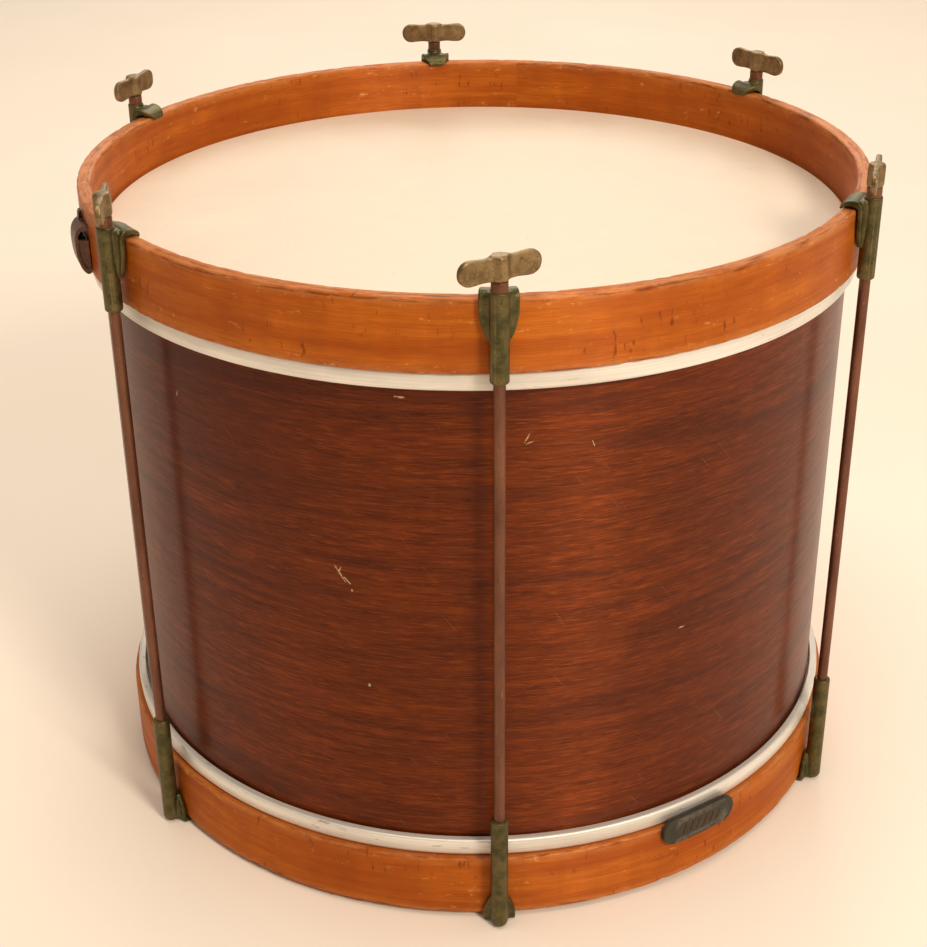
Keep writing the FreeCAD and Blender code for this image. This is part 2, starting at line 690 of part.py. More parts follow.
def make_strap_bow():
    """A bent-metal loop with side cheeks on a base plate. Its z is measured from the rim."""
    body = new_body("strap_bow", turned(size("bow_angle"), RIM))
    side = [(off_hoop(proud), f"{rise} - bow_drop") for proud, rise in BOW_SIDE]
    sketch = add_outline(new_sketch(body, "side", "YZ_Plane"), side)
    pad(body, "side_pad", sketch, "bow_width", both_ways=True)
    window = [(off_hoop(proud), f"{rise} - bow_drop") for proud, rise in BOW_WINDOW]
    sketch = add_outline(new_sketch(body, "window", "YZ_Plane"), window)
    cut(body, "window_cut", sketch, both_ways=True)
    tunnel = [
        (off_hoop("bow_floor"), f"{BOW_TUNNEL[0][1]} - bow_drop"),
        *[(off_hoop(proud), f"{rise} - bow_drop") for proud, rise in BOW_TUNNEL],
        (off_hoop("bow_floor"), f"{BOW_TUNNEL[-1][1]} - bow_drop"),
    ]
    sketch = add_outline(new_sketch(body, "tunnel", "YZ_Plane"), tunnel)
    cut(body, "tunnel_cut", sketch, length="bow_width - 2 * bow_cheek", both_ways=True)
    ahead = size("hoop_radius") + size("bow_floor")
    holes = new_sketch(body, "screw_holes", "XZ_Plane", offset=ahead)
    for level in ("screw_low", "screw_high"):
        add_circle(holes, "0", f"{level} - bow_drop", "screw_radius + 0.1")
    cut(body, "screw_hole_cut", holes, length="2 * bow_floor")
    return body


def make_bow_screws():
    """Two round-head wood screws through the bow's base plate, along the radius at azimuth 0."""
    screws = []
    for name in ("screw_low", "screw_high"):
        shank = document.addObject("Part::Cylinder", f"{name}_shank")
        shank.setExpression("Radius", on_sheet("screw_radius"))
        shank.setExpression("Height", on_sheet("screw_length + bow_floor"))
        head = document.addObject("Part::Cylinder", f"{name}_head")
        head.setExpression("Radius", on_sheet("screw_head"))
        head.setExpression("Height", on_sheet("screw_head_high"))
        head.setExpression("Placement.Base.z", on_sheet("screw_length + bow_floor"))
        whole = document.addObject("Part::Fuse", name)
        whole.Base = shank
        whole.Tool = head
        document.recompute()
        rounded = document.addObject("Part::Fillet", f"{name}_rounded")
        rounded.Base = whole
        top = size("screw_length") + size("bow_floor") + size("screw_head_high")
        crown = [i for i, edge in enumerate(whole.Shape.Edges, start=1) if is_ring(edge, height=top)]
        rounded.Edges = [(i, 0.9, 0.9) for i in crown]
        outwards = FreeCAD.Rotation(FreeCAD.Vector(1, 0, 0), 90)
        rounded.Placement = FreeCAD.Placement(
            FreeCAD.Vector(0, size("screw_length") - size("hoop_radius"), size(name) - size("bow_drop")),
            outwards)
        screws.append(rounded)
    pair = document.addObject("Part::Compound", "bow_screws")
    pair.Label = "bow_screws"
    pair.Links = screws
    pair.Placement = turned(size("bow_angle"), RIM)
    document.recompute()
    return pair


def make_vent_grommet():
    """A rolled brass eyelet through the shell wall, about the radial axis at azimuth 0."""
    body = new_body("vent_grommet", turned(size("vent_angle"), MIDDLE))
    outer_face = "-(shell_radius + 1.0)"
    seat = "-(shell_radius)"
    inner_wall = "-(shell_radius - shell_wall - 0.1)"
    inner_face = "-(shell_radius - shell_wall - 0.9)"
    tube = "(vent_hole - 0.1)"
    corners = [
        (outer_face, "grommet_bore"),
        (outer_face, "grommet_flange - 0.7"),
        (seat, "grommet_flange"),
        (seat, tube),
        (inner_wall, tube),
        (inner_wall, "grommet_flange - 1.6"),
        (inner_face, "grommet_flange - 2.2"),
        (inner_face, "grommet_bore"),
    ]
    sketch = add_outline(new_sketch(body, "section", "YZ_Plane"), corners)
    revolve(body, "eyelet", sketch, axis="H_Axis")
    return body


def build():
    """Make every sub-part and return them all."""
    parts = [make_shell()]
    for half, placement in (("upper", upright()), ("lower", upside_down())):
        parts.append(make_shell_ring(f"{half}_shell_ring", placement))
        parts.append(make_flesh_hoop(f"{half}_flesh_hoop", placement))
        parts.append(make_counterhoop(f"{half}_counterhoop", placement))
        if half == "upper":
            drill_for_bow(parts[-1])
    parts.append(make_head("batter_head", upright()))
    parts.append(make_head("lower_head", upside_down()))
    for number, azimuth, turn in STATIONS:
        parts.append(make_upper_claw(number, azimuth))
        parts.append(make_lower_claw(number, azimuth))
        parts.append(make_rod(number, azimuth))
        parts.append(make_handle(number, azimuth, turn))
    parts.append(make_hoop_plate())
    parts.append(make_strap_bow())
    parts.append(make_bow_screws())
    parts.append(make_vent_grommet())
    return parts


def check_and_write(parts):
    document.recompute()
    for item in document.Objects:
        if {"Invalid", "Error"} & set(item.State):
            raise RuntimeError(f"{item.Name} is {item.State}")
    for part in parts:
        if part.Shape.isNull() or not part.Shape.isValid() or part.Shape.Volume <= 0:
            raise RuntimeError(f"{part.Label} has no sound shape")
    os.makedirs("parts", exist_ok=True)
    for part in parts:
        part.Shape.exportStep(os.path.join("parts", f"{part.Label}.step"))
        box = part.Shape.BoundBox
        print(f"{part.Label}: {len(part.Shape.Solids)} solid, {part.Shape.Volume:.0f} mm3, "
              f"z {box.ZMin:.2f} to {box.ZMax:.2f}")


check_and_write(build())
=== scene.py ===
import math

import bmesh
import bpy
import numpy as np
from mathutils import Matrix, Vector, noise


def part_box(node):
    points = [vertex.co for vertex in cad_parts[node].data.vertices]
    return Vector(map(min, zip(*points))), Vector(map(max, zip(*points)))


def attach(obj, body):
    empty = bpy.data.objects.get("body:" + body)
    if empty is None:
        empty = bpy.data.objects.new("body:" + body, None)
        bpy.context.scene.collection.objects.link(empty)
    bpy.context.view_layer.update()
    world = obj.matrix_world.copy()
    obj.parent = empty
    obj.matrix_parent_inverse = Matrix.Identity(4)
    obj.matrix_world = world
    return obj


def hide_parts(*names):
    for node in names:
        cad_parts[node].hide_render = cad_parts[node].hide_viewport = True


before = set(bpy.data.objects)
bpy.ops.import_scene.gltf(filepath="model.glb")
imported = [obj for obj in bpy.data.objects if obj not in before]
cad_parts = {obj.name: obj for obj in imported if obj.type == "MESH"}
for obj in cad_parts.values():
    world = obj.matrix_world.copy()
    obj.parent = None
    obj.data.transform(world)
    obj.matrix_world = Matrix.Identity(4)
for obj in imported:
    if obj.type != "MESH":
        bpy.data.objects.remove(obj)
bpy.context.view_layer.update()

# A field drum's looks, in metres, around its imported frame. Azimuths are from the front (-Y), positive
# towards +X. Cast fittings are modelled in millimetres at azimuth 0 and scaled as they are placed.
MM = 0.001

COUNT = 6
SEAM_AZIMUTH = 172.0     # where the veneer's and the hoops' ends meet

# ---- sizes read from the frame ----

def middle(node):
    low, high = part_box(node)
    return (low + high) / 2


def azimuth_of(node):
    centre = middle(node)
    return math.degrees(math.atan2(centre.x, -centre.y))


hoop_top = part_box("upper_counterhoop")[1]
HOOP_RADIUS, RIM = hoop_top.x, hoop_top.z
HOOP_WALL = 7.9 * MM
SHELL_WALL = 6.4 * MM
RING_GAP = 0.05 * MM     # between the shell and the rings inside it, or the heads outside
SHELL_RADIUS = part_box("upper_shell_ring")[1].x + RING_GAP + SHELL_WALL
ROD_AXIS = (middle("tension_rod_1").to_2d().length - HOOP_RADIUS) / MM    # outside the hoop's side
POLE = 0.2 * MM          # a turned piece's axis is left open this far, so that no face is pinched


# ---- meshes ----

def linked(name, data):
    obj = bpy.data.objects.new(name, data)
    bpy.context.scene.collection.objects.link(obj)
    return obj


def make_object(name, vertices, faces):
    mesh = bpy.data.meshes.new(name)
    mesh.from_pydata([tuple(v) for v in vertices], [], faces)
    mesh.validate()
    mesh.update()
    return linked(name, mesh)


def shade(obj, sharp=40.0):
    obj.data.shade_smooth()
    obj.data.set_sharp_from_angle(angle=math.radians(sharp))


def rounded(corners, radii, steps=6):
    """A closed outline whose corners are arcs of the given radii."""
    count = len(corners)
    points = []
    for i, radius in enumerate(radii):
        here = Vector(corners[i])
        if radius == 0:
            points.append(here)
            continue
        back = (Vector(corners[i - 1]) - here).normalized()
        ahead = (Vector(corners[(i + 1) % count]) - here).normalized()
        half = back.angle(ahead) / 2
        centre = here + (back + ahead).normalized() * radius / math.sin(half)
        start = here + back * radius / math.tan(half) - centre
        end = here + ahead * radius / math.tan(half) - centre
        sweep = start.angle(end)
        for k in range(steps + 1):
            share = k / steps
            mixed = start * math.sin((1 - share) * sweep) + end * math.sin(share * sweep)
            points.append(centre + mixed / math.sin(sweep))
    return points


def divided(points, longest):
    """The same outline with its long sides cut into pieces no longer than this."""
    result = []
    for i, point in enumerate(points):
        here, following = Vector(point), Vector(points[(i + 1) % len(points)])
        pieces = max(1, math.ceil((following - here).length / longest))
        result += [here.lerp(following, k / pieces) for k in range(pieces)]
    return result


def lathe(name, section, segments):
    """Revolve (radius, height) points about Z.

    Its UVs are metres round the drum and along the section, where they equal the height outside.
    """
    seam = math.radians(SEAM_AZIMUTH)
    count = len(section)
    along = [0.0]
    for i in range(count):
        here, following = section[i], section[(i + 1) % count]
        along.append(along[-1] + math.dist(here, following))
    outside = max(range(count), key=lambda i: section[i][0])
    step = 2 * math.pi * section[outside][0] / segments
    along = [place + section[outside][1] - along[outside] for place in along]
    vertices = []
    for k in range(segments):
        angle = seam + 2 * math.pi * k / segments
        for radius, height in section:
            vertices.append((radius * math.sin(angle), -radius * math.cos(angle), height))
    faces = []
    corners = []
    for k in range(segments):
        following = (k + 1) % segments
        for i in range(count):
            above = (i + 1) % count
            faces.append((k * count + i, following * count + i,
                          following * count + above, k * count + above))
            corners.append([(k * step, along[i]), ((k + 1) * step, along[i]),
                            ((k + 1) * step, along[i + 1]), (k * step, along[i + 1])])
    obj = make_object(name, vertices, faces)
    layer = obj.data.uv_layers.new(name="UVMap")
    for polygon, places in zip(obj.data.polygons, corners):
        for loop, place in zip(polygon.loop_indices, places):
            layer.data[loop].uv = place
    return obj


def outwards(obj):
    work = bmesh.new()
    work.from_mesh(obj.data)
    bmesh.ops.recalc_face_normals(work, faces=work.faces)
    work.to_mesh(obj.data)
    work.free()


def points_of(mesh):
    flat = np.empty(len(mesh.vertices) * 3, np.float32)
    mesh.vertices.foreach_get("co", flat)
    return flat.reshape(-1, 3)


def noise_at(points, scale, shift=(0, 0, 0)):
    return np.array([noise.noise(Vector(p) * scale + Vector(shift)) for p in points])


def set_points(mesh, points):
    mesh.vertices.foreach_set("co", points.astype(np.float32).ravel())
    mesh.update()


def set_value(mesh, name, values):
    """Store one number per vertex, for a material to read."""
    attribute = mesh.attributes.new(name, "FLOAT", "POINT")
    attribute.data.foreach_set("value", np.asarray(values, np.float32))


def baked(obj):
    """Replace the object's mesh by what its modifiers make of it."""
    graph = bpy.context.evaluated_depsgraph_get()
    mesh = bpy.data.meshes.new_from_object(obj.evaluated_get(graph))
    obj.modifiers.clear()
    obj.data = mesh
    return obj


def joined(name, objects):
    """One object that holds the meshes of several, which are removed."""
    work = bmesh.new()
    for obj in objects:
        work.from_mesh(obj.data)
        bpy.data.objects.remove(obj)
    mesh = bpy.data.meshes.new(name)
    work.to_mesh(mesh)
    work.free()
    return linked(name, mesh)


def cut_away(obj, cutter):
    """Subtract the cutter, which is removed."""
    step = obj.modifiers.new("cut", "BOOLEAN")
    step.operation = "DIFFERENCE"
    step.solver = "EXACT"
    step.object = cutter
    baked(obj)
    bpy.data.objects.remove(cutter)


def melt(obj, voxel, smoothing, keep):
    """Fuse overlapping solids into one skin with soft fillets, then thin its mesh out."""
    step = obj.modifiers.new("skin", "REMESH")
    step.mode = "VOXEL"
    step.voxel_size = voxel
    step = obj.modifiers.new("soften", "SMOOTH")
    step.factor = 0.5
    step.iterations = smoothing
    if keep < 1:
        step = obj.modifiers.new("thin", "DECIMATE")
        step.ratio = keep
    return baked(obj)


def convexity(mesh, blurs=3):
    """How much each vertex stands out from its neighbours, for wear on edges."""
    points = points_of(mesh)
    normals = np.empty(len(points) * 3, np.float32)
    mesh.vertices.foreach_get("normal", normals)
    normals = normals.reshape(-1, 3)
    edges = np.empty(len(mesh.edges) * 2, np.int32)
    mesh.edges.foreach_get("vertices", edges)
    first, second = edges.reshape(-1, 2).T
    count = np.bincount(edges, minlength=len(points)).clip(1)

    def spread(values):
        total = np.zeros_like(values)
        np.add.at(total, first, values[second])
        np.add.at(total, second, values[first])
        return total / (count[:, None] if values.ndim == 2 else count)

    gap = points - spread(points)
    length = np.linalg.norm(points[first] - points[second], axis=1).mean()
    value = (gap * normals).sum(1) / length
    for _ in range(blurs):
        value = (value + spread(value)) / 2
    return value


def skin(name, vertices, sides):
    """A closed solid through rings that each have this many vertices, capped at both ends."""
    rings = len(vertices) // sides
    faces = []
    for i in range(rings - 1):
        for k in range(sides):
            following = (k + 1) % sides
            faces.append((i * sides + k, i * sides + following,
                          (i + 1) * sides + following, (i + 1) * sides + k))
    faces += [tuple(range(sides)), tuple(range((rings - 1) * sides, rings * sides))]
    obj = make_object(name, vertices, faces)
    outwards(obj)
    return obj


def prism(name, outline, low, high, axis="X"):
    """A straight solid whose outline lies across one axis: (y, z) for X, (x, z) for Y, (x, y) for Z."""
    order = {"X": lambda a, b, c: (c, a, b), "Y": lambda a, b, c: (a, c, b),
             "Z": lambda a, b, c: (a, b, c)}[axis]
    return skin(name, [order(a, b, level) for level in (low, high) for a, b in outline], len(outline))


def rod_solid(name, radius, low, high, centre=(0.0, 0.0), segments=48, foot=0.0, head=0.0):
    """An upright round bar whose ends are rounded."""
    section = rounded([(0.0, low), (radius, low), (radius, high), (0.0, high)], [0, foot, head, 0])
    turns = [2 * math.pi * k / segments for k in range(segments)]
    vertices = [(centre[0] + reach * math.cos(turn), centre[1] + reach * math.sin(turn), height)
                for reach, height in section[1:-1] for turn in turns]
    return skin(name, vertices, segments)


def smooth_rows(rows, parts):
    """More rows between the given ones, on a Catmull-Rom curve through them."""
    table = np.array(rows, float)
    padded = np.vstack([table[:1], table, table[-1:]])
    result = []
    for i in range(1, len(padded) - 2):
        before, here, after, beyond = padded[i - 1:i + 3]
        for k in range(parts):
            t = k / parts
            result.append(0.5 * (2 * here + (after - before) * t
                                 + (2 * before - 5 * here + 4 * after - beyond) * t ** 2
                                 + (3 * here - before - 3 * after + beyond) * t ** 3))
    result.append(table[-1])
    return result


def strap(name, rows, fullness=5.0, sides=48, parts=5, lip=0.0):
    """A bar along rows of (outer y, outer z, inner y, inner z, half width), soft-edged across.

    A lip raises the outer face along both edges, by this share of the bar's thickness.
    """
    power = 2 / fullness
    vertices = []
    for outer_y, outer_z, inner_y, inner_z, half in smooth_rows(rows, parts):
        for k in range(sides):
            angle = 2 * math.pi * k / sides
            across = math.copysign(abs(math.cos(angle)) ** power, math.cos(angle)) * half
            share = 0.5 + 0.5 * math.copysign(abs(math.sin(angle)) ** power, math.sin(angle))
            share *= 1 + lip * (abs(across) / half) ** 6
            vertices.append((across, inner_y + (outer_y - inner_y) * share,
                             inner_z + (outer_z - inner_z) * share))
    return skin(name, vertices, sides)


def web(name, rows, tube_axis, back=-1.2, face=-2.9, hug=3.5, fill=0.35):
    """Hollow fillets from a saddle's wings to the sides of its tube, along rows of (z, half width).

    They start on the saddle's face and end inside the tube, this far (hug) from its middle plane. Fill
    is 0 for a round hollow and 1 for a flat.
    """
    vertices = []
    turns = [math.pi / 2 * k / 6 for k in range(7)]
    for level, reach in smooth_rows(rows, 4):
        side = [(-reach, back)]
        for turn in turns:
            hollow = Vector((-reach + (reach - hug) * math.sin(turn),
                             tube_axis + (face - tube_axis) * math.cos(turn)))
            flat = Vector((-reach, face)).lerp(Vector((-hug, tube_axis)), turn / turns[-1])
            side.append(tuple(hollow.lerp(flat, fill)))
        ring = side + [(-x, y) for x, y in reversed(side)]
        vertices += [(x, y, level) for x, y in ring]
    return skin(name, vertices, len(ring))


def weathered(obj):
    """Mark a casting's worn edges, and shade it."""
    set_value(obj.data, "worn", convexity(obj.data))
    shade(obj, 35)


def placed(name, master, matrix):
    """A copy of a master's mesh, in millimetres there, put in place in metres."""
    mesh = master.data.copy()
    mesh.name = name
    mesh.transform(matrix @ Matrix.Scale(MM, 4))
    return linked(name, mesh)


def on_hoop(azimuth, height):
    """From a fitting's own frame, whose Y is 0 on the hoop's outer side, to the drum's."""
    turn = Matrix.Rotation(math.radians(azimuth), 4, "Z")
    return turn @ Matrix.Translation((0, -HOOP_RADIUS, height))


# ---- materials ----

class Finish:
    """A material under construction. Each call adds a node and returns the socket to read."""

    def __init__(self, name, **constants):
        self.material = bpy.data.materials.new(name)
        self.material.use_nodes = True
        self.tree = self.material.node_tree
        self.shader = self.tree.nodes["Principled BSDF"]
        for key, value in constants.items():
            self.shader.inputs[key.replace("_", " ")].default_value = value

    def put(self, socket, value):
        if isinstance(value, bpy.types.NodeSocket):
            self.tree.links.new(value, socket)
        elif isinstance(value, tuple) and len(value) == 3 and socket.type == "RGBA":
            socket.default_value = (*value, 1.0)
        else:
            socket.default_value = value

    def set(self, socket, value):
        self.put(self.shader.inputs[socket], value)

    def node(self, kind, **settings):
        node = self.tree.nodes.new(kind)
        for key, value in settings.items():
            setattr(node, key, value)
        return node

    def stretched(self, source, scale):
        """Coordinates multiplied by scale along each axis."""
        node = self.node("ShaderNodeVectorMath", operation="MULTIPLY")
        self.put(node.inputs[0], source)
        self.put(node.inputs[1], scale)
        return node.outputs[0]

    def along_drum(self, *scale):
        """Metres round the drum and along the section."""
        return self.stretched(self.node("ShaderNodeUVMap", uv_map="UVMap").outputs[0], (*scale, 1.0))

    def solid(self, scale=1.0):
        """Metres in the drum's frame."""
        source = self.node("ShaderNodeTexCoord").outputs["Object"]
        return self.stretched(source, (scale, scale, scale))

    def value(self, name):
        return self.node("ShaderNodeAttribute", attribute_name=name).outputs["Fac"]

    def noise(self, place, scale=1.0, detail=3.0, roughness=0.55, distortion=0.0):
        node = self.node("ShaderNodeTexNoise")
        self.put(node.inputs["Vector"], place)
        for key, value in (("Scale", scale), ("Detail", detail), ("Roughness", roughness),
                           ("Distortion", distortion)):
            node.inputs[key].default_value = value
        return node.outputs["Fac"]

    def grain(self, around, along, *settings):
        """Noise drawn out round the drum: cells per metre round it and along its section."""
        return self.noise(self.along_drum(around, along), 1, *settings)

    def between(self, value, low, high, to_low=0.0, to_high=1.0):
        """Smoothly from to_low to to_high as value goes from low to high."""
        node = self.node("ShaderNodeMapRange", interpolation_type="SMOOTHSTEP")
        for key, item in zip(("Value", "From Min", "From Max", "To Min", "To Max"),
                             (value, low, high, to_low, to_high)):
            self.put(node.inputs[key], item)
        return node.outputs["Result"]

    def math(self, operation, first, second=0.0):
        node = self.node("ShaderNodeMath", operation=operation)
        self.put(node.inputs[0], first)
        self.put(node.inputs[1], second)
        return node.outputs[0]

    def times(self, first, second):
        return self.math("MULTIPLY", first, second)

    def colours(self, value, *stops):
        """A colour ramp of (position, colour) stops."""
        node = self.node("ShaderNodeValToRGB")
        self.put(node.inputs["Fac"], value)
        ramp = node.color_ramp
        while len(ramp.elements) < len(stops):
            ramp.elements.new(0.5)
        for element, (position, colour) in zip(ramp.elements, stops):
            element.position = position
            element.color = (*colour, 1.0)
        return node.outputs["Color"]

    def mix(self, share, first, second, blend="MIX"):
        node = self.node("ShaderNodeMix", data_type="RGBA", blend_type=blend)
        self.put(node.inputs["Factor"], share)
        self.put(node.inputs[6], first)
        self.put(node.inputs[7], second)
        return node.outputs[2]

    def over(self, colour, mask, strength, layer):
        """Lay a colour over what is there already, where the mask says."""
        return self.mix(self.times(mask, strength), colour, layer)

    def fibres(self, roughness, stretch):
        """Reflect as fibres round the drum do: a band across them, where the light's azimuth allows."""
        tangent = self.node("ShaderNodeTangent", direction_type="UV_MAP", uv_map="UVMap")
        self.set("Tangent", tangent.outputs[0])
        self.set("Roughness", roughness)
        self.set("Anisotropic", stretch)
        self.set("Anisotropic Rotation", 0.25)

    def bump(self, height, distance, strength=1.0):
        """Bump on top of any bump that is already there."""
        node = self.node("ShaderNodeBump")
        node.inputs["Distance"].default_value = distance
        node.inputs["Strength"].default_value = strength
        self.put(node.inputs["Height"], height)
        socket = self.shader.inputs["Normal"]
        if socket.is_linked:
            self.tree.links.new(socket.links[0].from_socket, node.inputs["Normal"])
        self.tree.links.new(node.outputs[0], socket)


def hoop_finish():
    """Orange-stained maple under old lacquer, with a faint figure across it and rubbed edges; on the open
    rim the pale wear colour is partly a painted sheen.
    """
    wood = Finish("stained_maple", Metallic=0.25, Specular_IOR_Level=0.16)
    long_grain = wood.grain(6, 150, 4, 0.6, 0.4)
    fine_grain = wood.grain(60, 1700, 3, 0.6)
    figure = wood.grain(55, 6, 3, 0.6, 0.5)
    cloud = wood.grain(8, 22, 4, 0.6)
    colour = wood.colours(long_grain, (0.3, (0.375, 0.08, 0.007)), (0.52, (0.48, 0.118, 0.0095)),
                          (0.74, (0.575, 0.164, 0.015)))
    colour = wood.mix(1.0, colour, wood.between(fine_grain, 0.35, 0.65, 0.84, 1.08), "MULTIPLY")
    colour = wood.mix(1.0, colour, wood.between(figure, 0.36, 0.64, 0.94, 1.05), "MULTIPLY")
    colour = wood.mix(wood.between(cloud, 0.42, 0.66, 0.0, 0.6), colour, (0.31, 0.055, 0.006))
    ticks = wood.grain(300, 90, 2, 0.5)
    area = wood.grain(14, 40, 2, 0.5)
    marks = wood.times(wood.between(ticks, 0.62, 0.7), wood.between(area, 0.46, 0.62))
    colour = wood.over(colour, marks, 0.6, (0.12, 0.02, 0.005))
    scuffs = wood.grain(110, 240, 5, 0.72)
    place = wood.grain(17, 60, 2, 0.5)
    worn = wood.value("worn")
    near_edge = wood.times(wood.between(worn, 0.02, 0.3), 0.22)
    chance = wood.math("ADD", place, near_edge)
    rubbed = wood.times(wood.between(scuffs, 0.58, 0.67), wood.between(chance, 0.5, 0.64))
    colour = wood.over(colour, rubbed, 0.55, (0.8, 0.4, 0.13))
    # Pale where the worn value is high: rubbed edges, and on the open rim partly a painted sheen.
    patchy = wood.grain(45, 170, 5, 0.7)
    edge = wood.times(worn, wood.between(patchy, 0.38, 0.56, 0.12, 1.0))
    colour = wood.over(colour, edge, 0.62, (0.58, 0.235, 0.085))
    grime = wood.grain(45, 420, 5, 0.7)
    chips = wood.times(wood.between(worn, 0.35, 0.75), wood.between(grime, 0.5, 0.62))
    colour = wood.over(colour, chips, 0.62, (0.11, 0.024, 0.009))
    wood.set("Base Color", colour)
    wood.fibres(0.5, 0.85)
    wood.bump(long_grain, 0.0001, 0.4)
    wood.bump(fine_grain, 0.00004, 0.6)
    wood.bump(marks, -0.00015, 0.6)
    return wood.material


SCRATCHES = [
    # azimuth, height, half length, half width, tilt from level
    (-18.9, 0.2112, 0.0062, 0.0005, -58),
    (-19.0, 0.2135, 0.0026, 0.00045, 64),
    (-18.0, 0.2083, 0.0036, 0.0005, -44),
    (-17.3, 0.2025, 0.0009, 0.0006, -60),
    (-9.6, 0.3146, 0.0033, 0.00065, -3),
    (-46.0, 0.2887, 0.0022, 0.0004, 70),
    (-15.3, 0.1453, 0.001, 0.001, 0),
    (30.3, 0.1663, 0.0026, 0.0006, 6),
    (6.7, 0.2934, 0.0034, 0.00035, 62),
    (7.0, 0.2905, 0.002, 0.00035, 20),
    (15.5, 0.2869, 0.0018, 0.00035, -70),
    (141.0, 0.19, 0.011, 0.0005, 18),
    (102.0, 0.26, 0.008, 0.0004, -35),
    (-118.0, 0.125, 0.009, 0.0005, 62),
    (-150.0, 0.24, 0.006, 0.00045, -12),
]


def shell_finish():
    """Mahogany veneer: dark bands and fine dark pores round the drum, hairlines and old scratches."""
    wood = Finish("mahogany_veneer", Metallic=0.42, Specular_IOR_Level=0.1, Coat_Weight=0.48,
                  Coat_Roughness=0.22, Coat_IOR=1.28)
    ribbon = wood.grain(3.4, 46, 5, 0.6, 1.1)
    streak = wood.grain(19, 270, 5, 0.68, 0.5)
    mottle = wood.grain(34, 95, 5, 0.7, 0.6)
    fleck = wood.grain(80, 1100, 3, 0.6)
    pores = wood.grain(95, 2500, 3, 0.6)
    where = wood.grain(9, 60, 3, 0.6)
    cloud = wood.grain(4.0, 5.0, 4, 0.55)
    colour = wood.colours(streak, (0.25, (0.09, 0.0142, 0.0021)), (0.5, (0.144, 0.0242, 0.0028)),
                          (0.75, (0.222, 0.0425, 0.0044)))
    colour = wood.mix(1.0, colour, wood.between(mottle, 0.34, 0.66, 0.86, 1.1), "MULTIPLY")
    colour = wood.mix(wood.between(fleck, 0.48, 0.72, 0.0, 0.42), colour, (0.4, 0.084, 0.0085))
    colour = wood.mix(wood.between(ribbon, 0.46, 0.72, 0.0, 0.66), colour, (0.058, 0.0105, 0.0034))
    colour = wood.mix(wood.between(cloud, 0.46, 0.68, 0.0, 0.45), colour, (0.075, 0.0125, 0.0036))
    pitted = wood.times(wood.between(pores, 0.54, 0.68), wood.between(where, 0.38, 0.62, 0.25, 0.85))
    colour = wood.mix(pitted, colour, (0.022, 0.0046, 0.002))
    turned = wood.node("ShaderNodeMapping")
    wood.put(turned.inputs["Vector"], wood.node("ShaderNodeUVMap", uv_map="UVMap").outputs[0])
    turned.inputs["Rotation"].default_value = (0, 0, math.radians(52))
    hairs = wood.noise(wood.stretched(turned.outputs[0], (34, 1500, 1)), 1, 1, 0.4, 0.3)
    fields = wood.grain(21, 24, 2, 0.5)
    hairs = wood.times(wood.between(hairs, 0.7, 0.76), wood.between(fields, 0.52, 0.62))
    colour = wood.over(colour, hairs, 0.28, (0.42, 0.17, 0.07))
    torn = wood.noise(wood.solid(900), 1, 2, 0.5)
    marks = None
    for azimuth, height, half_length, half_width, tilt in SCRATCHES:
        spot = wood.node("ShaderNodeMapping", vector_type="TEXTURE")
        wood.put(spot.inputs["Vector"], wood.node("ShaderNodeUVMap", uv_map="UVMap").outputs[0])
        away = math.radians((azimuth - SEAM_AZIMUTH) % 360)
        spot.inputs["Location"].default_value = (away * SHELL_RADIUS, height, 0)
        spot.inputs["Rotation"].default_value = (0, 0, math.radians(tilt))
        spot.inputs["Scale"].default_value = (half_length, half_width, 1)
        far = wood.node("ShaderNodeVectorMath", operation="LENGTH")
        wood.put(far.inputs[0], spot.outputs[0])
        ragged = wood.math("ADD", far.outputs["Value"], wood.between(torn, 0.4, 0.6, -0.22, 0.22))
        mark = wood.between(ragged, 0.6, 1.0, 1.0, 0.0)
        marks = mark if marks is None else wood.math("MAXIMUM", marks, mark)
    colour = wood.over(colour, marks, 0.85, (0.62, 0.42, 0.23))
    wood.set("Base Color", colour)
    wood.fibres(0.55, 0.92)
    wood.bump(streak, 0.00008, 0.35)
    wood.bump(pitted, -0.00004, 0.6)
    wood.bump(marks, -0.00025, 0.8)
    return wood.material


def plain_maple_finish():
    """Bare sanded maple, inside the shell."""
    wood = Finish("bare_maple", Roughness=0.62)
    place = wood.solid()
    grain = wood.noise(wood.stretched(place, (20, 20, 420)), 1, 4, 0.6)
    wood.set("Base Color", wood.colours(grain, (0.3, (0.5, 0.35, 0.2)), (0.7, (0.7, 0.54, 0.36))))
    wood.bump(grain, 0.0001, 0.5)
    return wood.material


